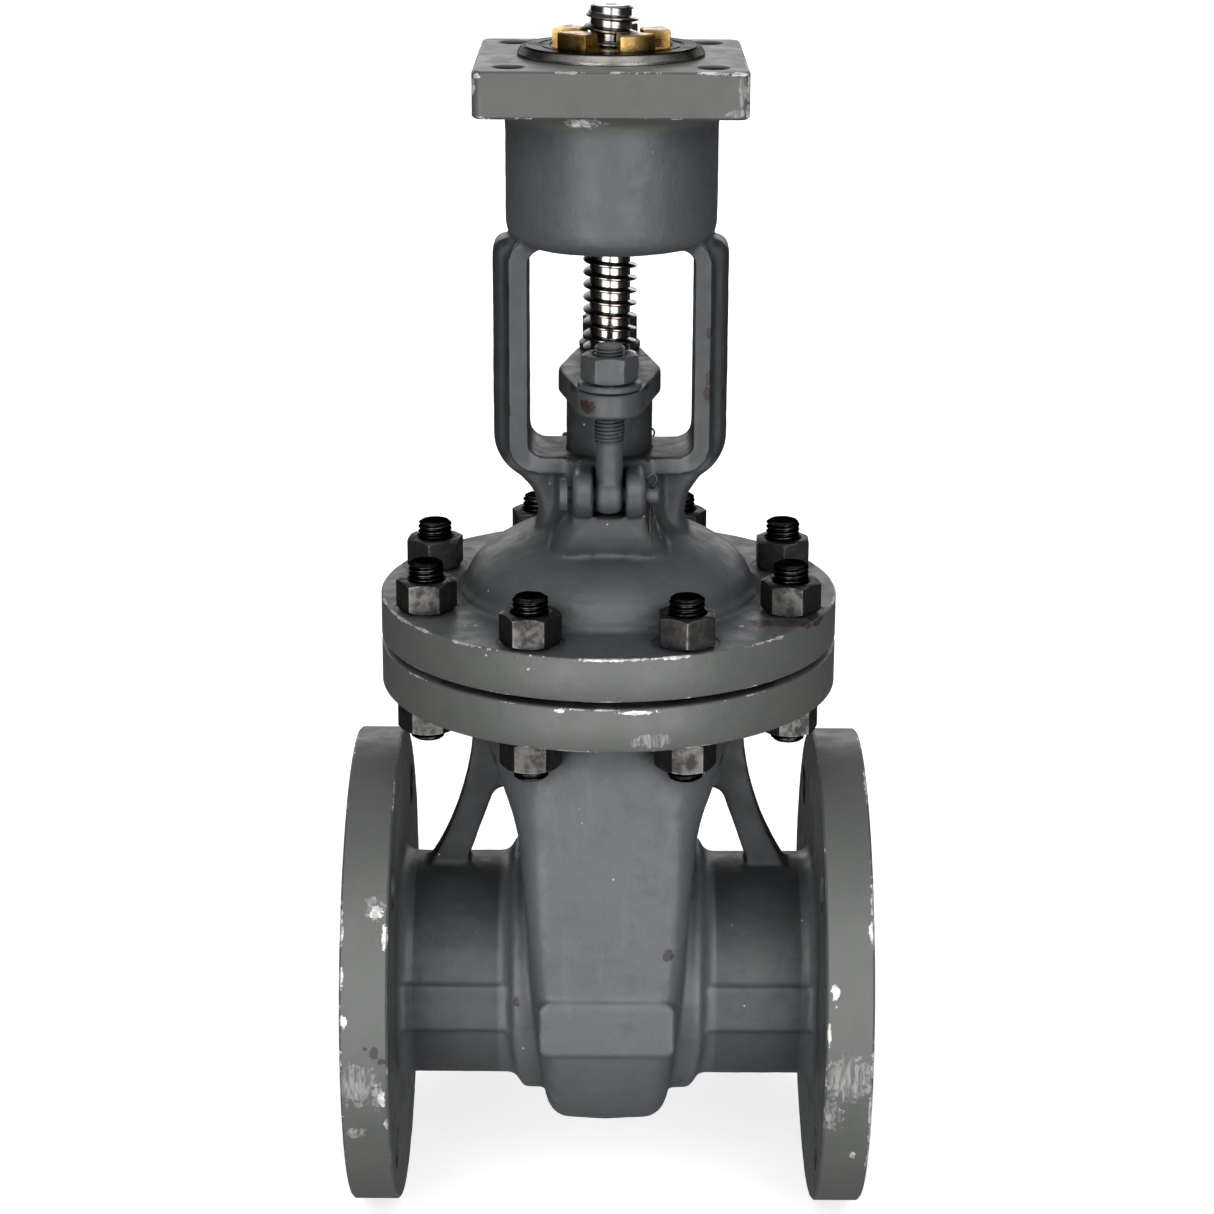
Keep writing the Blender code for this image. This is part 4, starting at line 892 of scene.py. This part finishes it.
def hex_blank(name, corner, height, bore):
    """A nut standing on z = 0: a hexagon with eased corners, chamfered faces and a countersunk bore."""
    def build(work):
        bmesh.ops.create_cone(work, cap_ends=True, segments=6, radius1=corner * MM, radius2=corner * MM,
                              depth=height * MM, matrix=Matrix.Translation((0, 0, height * MM / 2)))
        upright = [e for e in work.edges if abs(e.verts[0].co.z - e.verts[1].co.z) > height * MM / 2]
        bmesh.ops.bevel(work, geom=upright, offset=0.35 * MM, segments=3, affect="EDGES", profile=0.5)
    nut = from_bmesh(name, build)
    pinch = 0.86
    narrow, drop = corner * pinch, corner * (1 - pinch) * 0.62
    chamfer = [(narrow - 0.5, -0.01), (narrow, 0.12), (corner + 0.1, drop), (corner + 0.1, height - drop),
               (narrow, height - 0.12), (narrow - 0.5, height + 0.01)]
    boolean("INTERSECT", nut, turned("chamfer", chamfer, 72))
    return cut(nut, turned("bore", [(bore + 1.4, -0.2), (bore + 1.1, 0), (bore, 1.1), (bore, height - 1.1),
                                    (bore + 1.1, height), (bore + 1.4, height + 0.2)], 48))


def make_joint():
    """Eight studs with a nut above and below the joint, worn a little differently in height and turn."""
    bottom, top = span("stud_1")
    crest, root = 6.85, 5.7
    lower_end = threaded("stud_low", 2, bottom, bottom + 19, crest, root)
    upper_end = threaded("stud_high", 2, top - 24, top, crest, root)
    stud = boolean("UNION", lower_end, upper_end, turned("stud_shank", [(6.2, bottom + 17), (6.2, top - 22)], 48))
    nut = hex_blank("nut", 12.1, 12, crest + 0.05)
    for index, (x, y) in enumerate(STUD_SPOTS):
        number = index + 1
        piece = link(f"threaded_stud_{number}", stud.data.copy())
        placed(piece, x, y, -abs(math.sin(index * 2.3)) * 1.3, math.degrees(index * 1.7))
        add_piece(piece, "valve_body", STUD_STEEL, "stud_steel", f"stud_{number}", angle=30)
        for kind, turns in (("upper", UPPER_NUT_TURNS), ("lower", LOWER_NUT_TURNS)):
            node = f"{kind}_nut_{number}"
            piece = link(f"hex_{node}", nut.data.copy())
            placed(piece, x, y, span(node)[0], turns[index])
            add_piece(piece, "valve_body", NUT_STEEL, "nut_steel", node, angle=30)
    discard(stud, nut)


# ---- stem, wedge and seats
def make_stem():
    top, thread_bottom, neck_r = span("stem")[1], 224.5, 7.9
    shape = [(0.0, neck_r), (0.48, neck_r), (0.52, 8.1), (0.61, 9.9), (0.65, 10.35), (0.69, 10.5), (0.77, 10.5),
             (0.81, 10.35), (0.85, 9.9), (0.95, 8.1)]
    thread = helix("lead_screw", 5, thread_bottom - 5, top, shape, 72, left=True)
    ends = [(10.7, thread_bottom - 2), (10.7, top - 4.6), (8.7, top - 2.9), (8.7, top - 1.2), (7.9, top - 0.4),
            (7.4, top)]
    boolean("INTERSECT", thread, turned("stem_bar", ends, 81))
    shank = [(11, thread_bottom - 1), (10.2, thread_bottom), (7.5, thread_bottom + 0.5)]
    low = [(7.5, 50), (7.5, 63), (11, 63.5), (11, 76), (14, 79), (14, 86), (11, 89)]
    stem = boolean("UNION", thread, turned("stem_shank", low + shank, 72))
    head = ((8.2, 47.5), (9, 48.3), (9, 54.6), (8.2, 55.4))
    boolean("UNION", stem, skin("t_head", [at_height(rounded(h, h + 4, 1.5), z) for h, z in head]))
    centre_mark = turned("centre_drill", [(0.3, top - 2.2), (2.2, top - 0.2), (2.6, top + 0.5)], 24)
    add_piece(cut(stem, centre_mark), "stem", STEM_STEEL, "stem_steel", "stem", angle=30)


def make_wedge():
    profile = [(1, -30), (WEDGE_R - 1.2, -30), (WEDGE_R, -28), (WEDGE_R, 28), (WEDGE_R - 1.2, 30), (1, 30)]
    wedge = lay_x(turned("wedge_disc", profile, 128))
    for side in (1, -1):
        boolean("UNION", wedge, side_block("guide_lug", side, 9, 40, 53.4, 2, 32))
    half_top, half_bottom = WEDGE_HALF_X + TAPER * 60, WEDGE_HALF_X - TAPER * 60
    outline = [(-half_bottom, -60), (half_bottom, -60), (half_top, 60), (-half_top, 60)]
    boolean("INTERSECT", wedge, slab("taper", outline, -60, 60))
    boolean("UNION", wedge, block("boss", (-13, -20, 36), (13, 20, 62)))
    for side in (1, -1):
        cut(wedge, side_block("guide_slot", side, 4, 49.6, 60, -5, 40))
    for name, half_y, low, high in (("t_slot", 13.4, 47.1, 55.8), ("neck_slot", 7.9, 55, 70)):
        cut(wedge, block(name, (-30, -half_y, low), (30, half_y, high)))
    add_piece(wedge, "stem", TRIM_STEEL, "trim_steel", "wedge")
    start = WEDGE_HALF_X + 0.3
    for side, word in ((-1, "left"), (1, "right")):
        profile = [(BORE_R, start + 12), (SEAT_R, start + 12), (SEAT_R, start + 0.8), (SEAT_R - 0.8, start),
                   (BORE_R + 0.8, start), (BORE_R, start + 0.8)]
        seat = lay_x(turned(f"turned_seat_{word}", profile, 128, hollow=True))
        add_piece(moved(seat, seat_tilt(side)), "valve_body", TRIM_STEEL, "trim_steel", f"seat_ring_{word}")


# ---- gland, eyebolts and their pins
def make_gland():
    middle_r, ear_r = 20.2, 12.8
    lean = math.degrees(math.asin((middle_r - ear_r) / EYEBOLT_Y))
    quarter = arc(0, 0, middle_r, 0, lean, 4)[:-1] + arc(0, EYEBOLT_Y, ear_r, lean, 90, 14)
    half = quarter + [(-x, y) for x, y in reversed(quarter[:-1])]
    outline = half + [(-x, -y) for x, y in half[1:-1]]
    rings = [[(x * s, y * s, z) for x, y in outline] for z, s in
             ((245, 0.97), (246, 1.0), (253.4, 1.0), (254.6, 0.985), (255, 0.96))]
    flange = skin("gland_flange", rings)
    raised = turned("gland_raised", [(19, 250), (19, 255.2), (18.2, 256)], 64)
    sleeve_bottom = span("gland")[0]
    sleeve = turned("gland_sleeve", [(17, sleeve_bottom - 2), (17, 247)], 64)
    gland = cast(joined("gland_casting", [flange, sleeve, raised]), 0.6, 5, 0.16, 9.0)
    cut(gland, block("gland_end", (-40, -40, sleeve_bottom - 6), (40, 40, sleeve_bottom)))
    cut(gland, block("gland_top", (-40, -60, 255), (40, 60, 262)))
    cut(gland, bar("gland_bore", 11.6, (0, 0, 200), (0, 0, 270), 72))
    for side in (1, -1):
        cut(gland, bar("ear_hole", 6.5, (0, side * EYEBOLT_Y, 240), (0, side * EYEBOLT_Y, 262), 40))
    add_piece(gland, "gland", TRIM_PAINT, "grey_paint", "gland", angle=40)


def make_packing():
    """Four square rings round the stem."""
    names = [f"packing_ring_{number}" for number in (1, 2, 3, 4)]
    inner, outer, ease = 11.3, 17, 0.6
    for name in names:
        low, high = span(name)
        profile = [(inner, low + ease), (inner + ease, low), (outer - ease, low), (outer, low + ease),
                   (outer, high - ease), (outer - ease, high), (inner + ease, high), (inner, high - ease)]
        ring = turned(f"square_{name}", profile, 64, hollow=True)
        shaded(ring)
        ring.data.materials.append(GRAPHITE)
        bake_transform(ring)
        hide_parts(name)


def make_eyebolt(word, side):
    """Eyebolt, washer, nut, hinge pin and split pin of one side; the front is side -1."""
    y = side * EYEBOLT_Y
    eye = [(3.4, -5.3), (5.2, -5.1), (6.4, -4.3), (7.1, -2.9), (7.4, -1), (7.4, 1), (7.1, 2.9), (6.4, 4.3),
           (5.2, 5.1), (3.4, 5.3)]
    core = [lay_x(turned("eye", eye, 64)), turned("shank", [(5.3, 0), (5.2, 8), (5.2, 31)], 48)]
    bolt = cast(joined(f"eyebolt_casting_{word}", core), 0.45, 5, 0.08, 12.0 + side)
    placed(bolt, z=PIN_Z)
    boolean("UNION", bolt, threaded("eyebolt_thread", 1.5, 233, span(f"eyebolt_{word}")[1], 5.9, 4.95))
    cut(bolt, bar("eye_hole", PIN_BORE, (-10, 0, PIN_Z), (10, 0, PIN_Z), 32))
    add_piece(placed(bolt, y=y), "valve_body", TRIM_PAINT, "grey_paint", f"eyebolt_{word}", angle=30)

    low, high = span(f"gland_washer_{word}")
    profile = [(6.5, low), (6.5, high), (12, high), (12.4, high - 0.4), (12.4, low + 0.3), (12.1, low)]
    washer = turned(f"plain_washer_{word}", profile, 64, hollow=True)
    add_piece(placed(washer, y=y), "gland", TRIM_PAINT, "grey_paint", f"gland_washer_{word}")

    name = f"gland_nut_{word}"
    low, high = span(name)
    nut = hex_blank(f"hex_{name}", 11.1, high - low, 5.95)
    add_piece(placed(nut, 0, y, low, 30), name, TRIM_PAINT, "grey_paint", name, angle=30)

    profile = [(5.2, -19.4), (6.1, -19.0), (6.4, -18.3), (6.4, -16.2), (6.1, -15.9), (3.2, -15.9), (3.2, 18.6),
               (2.5, 19.4)]
    pin = lay_x(turned(f"clevis_pin_{word}", profile, 40))
    cut(pin, bar("cotter_hole", 1.4, (16.6, 0, -8), (16.6, 0, 8), 16))
    add_piece(placed(pin, 0, y, PIN_Z), "valve_body", TRIM_PAINT, "grey_paint", f"hinge_pin_{word}")
    make_cotter(word, y)


def make_cotter(word, y):
    """A split pin of half-round wire: a loop above the hinge pin and two legs below it."""
    apart, x, z = 0.62, 16.6, PIN_Z
    loop = arc(x, z + 6.4, 1.9, -60, 240, 16)
    path = [(x + apart + 3, z - 17.3), (x + apart + 0.6, z - 8.5), (x + apart, z - 4.5), (x + apart, z + 4)]
    path += loop + [(x - apart, z + 4), (x - apart, z - 4.5), (x - apart, z - 19.3)]
    curve = bpy.data.curves.new(f"split_pin_{word}", "CURVE")
    curve.dimensions = "3D"
    curve.bevel_depth = 0.42 * MM
    curve.bevel_resolution = 3
    curve.use_fill_caps = True
    spline = curve.splines.new("POLY")
    spline.points.add(len(path) - 1)
    for point, (px, pz) in zip(spline.points, path):
        point.co = (px * MM, y * MM, pz * MM, 1)
    wire = link("wire", curve)
    mesh = evaluated_mesh(wire)
    discard(wire)
    add_piece(link(f"split_pin_{word}", mesh), "valve_body", WIRE_STEEL, "wire_steel", f"cotter_pin_{word}")


# ---- stem nut and bearing cover
def make_stem_nut():
    low, high = span("stem_nut")
    gap = 0.3
    collar_low = span("lower_bearing_washer_top")[1] + gap
    collar_high = span("upper_bearing_washer_bottom")[0] - gap
    bearing_top = span("upper_bearing_washer_top")[1] + gap
    cover_top = span("bearing_cover")[1]
    bore, seat = 10.8, 18.7
    profile = [(bore, high), (22.2, high), (22.8, high - 0.6), (22.8, bearing_top), (seat, bearing_top),
               (seat, collar_high), (27, collar_high), (27, collar_low), (seat, collar_low), (seat, 329), (16, 329),
               (16, low), (bore, low)]
    nut = turned("clawed_stem_nut", profile, 96, hollow=True)
    floor = cover_top - 0.4
    cut(nut, turned("counterbore", [(12.6, floor), (12.6, high - 0.6), (13.4, high + 0.2), (13.4, high + 10)], 72))
    half = math.radians(SLOT_HALF_ANGLE)
    slot = [(r * math.cos(half), r * math.sin(half)) for r in (10, 26)]
    slot += [(x, -y) for x, y in reversed(slot)]
    for claw in range(CLAWS):
        cutter = skin("claw_slot", [at_height(slot, z) for z in (floor, high + 10)])
        cut(nut, placed(cutter, turn=CLAW_STEP * claw + FIRST_SLOT))
    ease = nut.modifiers.new("ease", "BEVEL")
    ease.width = 0.35 * MM
    ease.segments = 2
    ease.limit_method = "ANGLE"
    ease.angle_limit = math.radians(50)
    add_piece(applied(nut), "stem_nut", BRASS, "brass", "stem_nut", angle=40)

    inner, top = 23.2, cover_top
    lip = PLATE_TOP + gap
    profile = [(inner, top - 0.5), (inner + 0.5, top), (26.5, top), (26.9, top - 0.3), (27.6, top - 0.3), (28, top),
               (33.0, top), (33.3, top - 0.35), (33.6, top - 0.35), (33.9, top - 0.15), (34.3, top - 0.3),
               (35.6, top - 2.2), (36, top - 2.7), (36, lip), (33.2, lip),
               (33.2, bearing_top + gap), (inner, bearing_top + gap)]
    cover = turned("turned_bearing_cover", profile, 128, hollow=True)
    for turn in (1.05, 1.05 + math.pi):
        x, y = 30.8 * math.cos(turn), 30.8 * math.sin(turn)
        cut(cover, bar("spanner_hole", 1.7, (x, y, top - 3), (x, y, top + 3), 24))
    add_piece(cover, "valve_body", COVER_STEEL, "bearing_steel", "bearing_cover")


def dress_hidden_nodes():
    """Give the carried-over CAD solids their finishes."""
    finishes = {"bonnet_gasket": GASKET, "backseat_bush": BRASS, "packing_washer": TRIM_STEEL}
    for name, node in NODES.items():
        material = finishes.get(name)
        if "bearing_washer" in name or "ball_cage" in name:
            material = BEARING_STEEL
        if material:
            for slot in node.material_slots:
                slot.link = "OBJECT"
                slot.material = material


# ---- stage
FLOOR_GAP = 0.2
BOWL_R, BEND_R, BOWL_HEIGHT = 5000, 1000, 5000
CAMERA_PLACE = (-0.00036, -1.12406, 0.51649)
CAMERA_DOWN, CAMERA_ROLL = 16.401, 0.246
WHITE = (1.0, 1.0, 1.0, 1)


def make_floor():
    """Pale paper that curves up far out and glows faintly, seen by the camera alone."""
    z = CAD_BOX[0][2] / MM - FLOOR_GAP
    sweep = arc(BOWL_R - BEND_R, z + BEND_R, BEND_R, -90, 0, 12)
    profile = [(300, z), (1500, z)] + sweep + [(BOWL_R, z + BOWL_HEIGHT)]
    floor = shaded(skin("studio_floor", [circle(r, height, 64) for r, height in profile], caps=(0,)))
    paper = Paint("pale_paper", (0.80, 0.80, 0.80), 0.0, 0.8)
    paper.blend(paper.noise(300, 2).ramp(0.3, 0.7) * 0.5, (0.785, 0.785, 0.79))
    glow = length(paper.x, paper.y).ramp(50, 700, 0.60, 0.64)
    floor.data.materials.append(paper.finish(Emission_Strength=glow, Emission_Color=WHITE))
    floor.visible_diffuse = floor.visible_glossy = floor.visible_shadow = False


def make_stage():
    """The floor, light from all round (strong in front, weaker behind and above) and the camera in front."""
    make_floor()
    scene = bpy.context.scene
    world = bpy.data.worlds.new("studio_air")
    scene.world = world
    world.use_nodes = True
    tree = world.node_tree
    x, y, height = coordinates(tree, "Generated")[1]
    level = length(x, y)
    ahead, aside = (y * -1).math("DIVIDE", level), x.abs().math("DIVIDE", level)
    front = ahead.ramp(0.64, 0.88) * height.ramp(-0.75, -0.35) * height.ramp(0.97, 0.6)
    front = front * aside.ramp(0.09, 0.16, 0.1)
    back = ahead.ramp(-0.72, -0.92) * height.ramp(0.6, 0.2) * height.ramp(0.0, 0.12)
    above, below = height.ramp(0.55, 0.95), height.ramp(-0.05, -0.4)
    sky = tree.nodes["Background"].inputs
    feed(tree, front * 4.3 + back * 2.1 + above * 0.6 + below * 0.10 + 0.03, sky["Strength"])
    feed(tree, WHITE, sky["Color"])

    lens = bpy.data.cameras.new("camera")
    lens.lens, lens.sensor_width = 86.66, 36
    lens.shift_x, lens.shift_y = -0.00083, -0.0591
    camera = link("camera", lens)
    tilt = Matrix.Rotation(math.radians(90 - CAMERA_DOWN), 4, "X")
    camera.matrix_world = Matrix.Translation(CAMERA_PLACE) @ tilt @ Matrix.Rotation(math.radians(CAMERA_ROLL), 4, "Z")
    scene.camera = camera
    scene.view_settings.view_transform = "Standard"


make_stage()
make_body()
make_bonnet()
make_joint()
make_stem()
make_wedge()
make_gland()
make_packing()
for word, side in (("front", -1), ("back", 1)):
    make_eyebolt(word, side)
make_stem_nut()
dress_hidden_nodes()
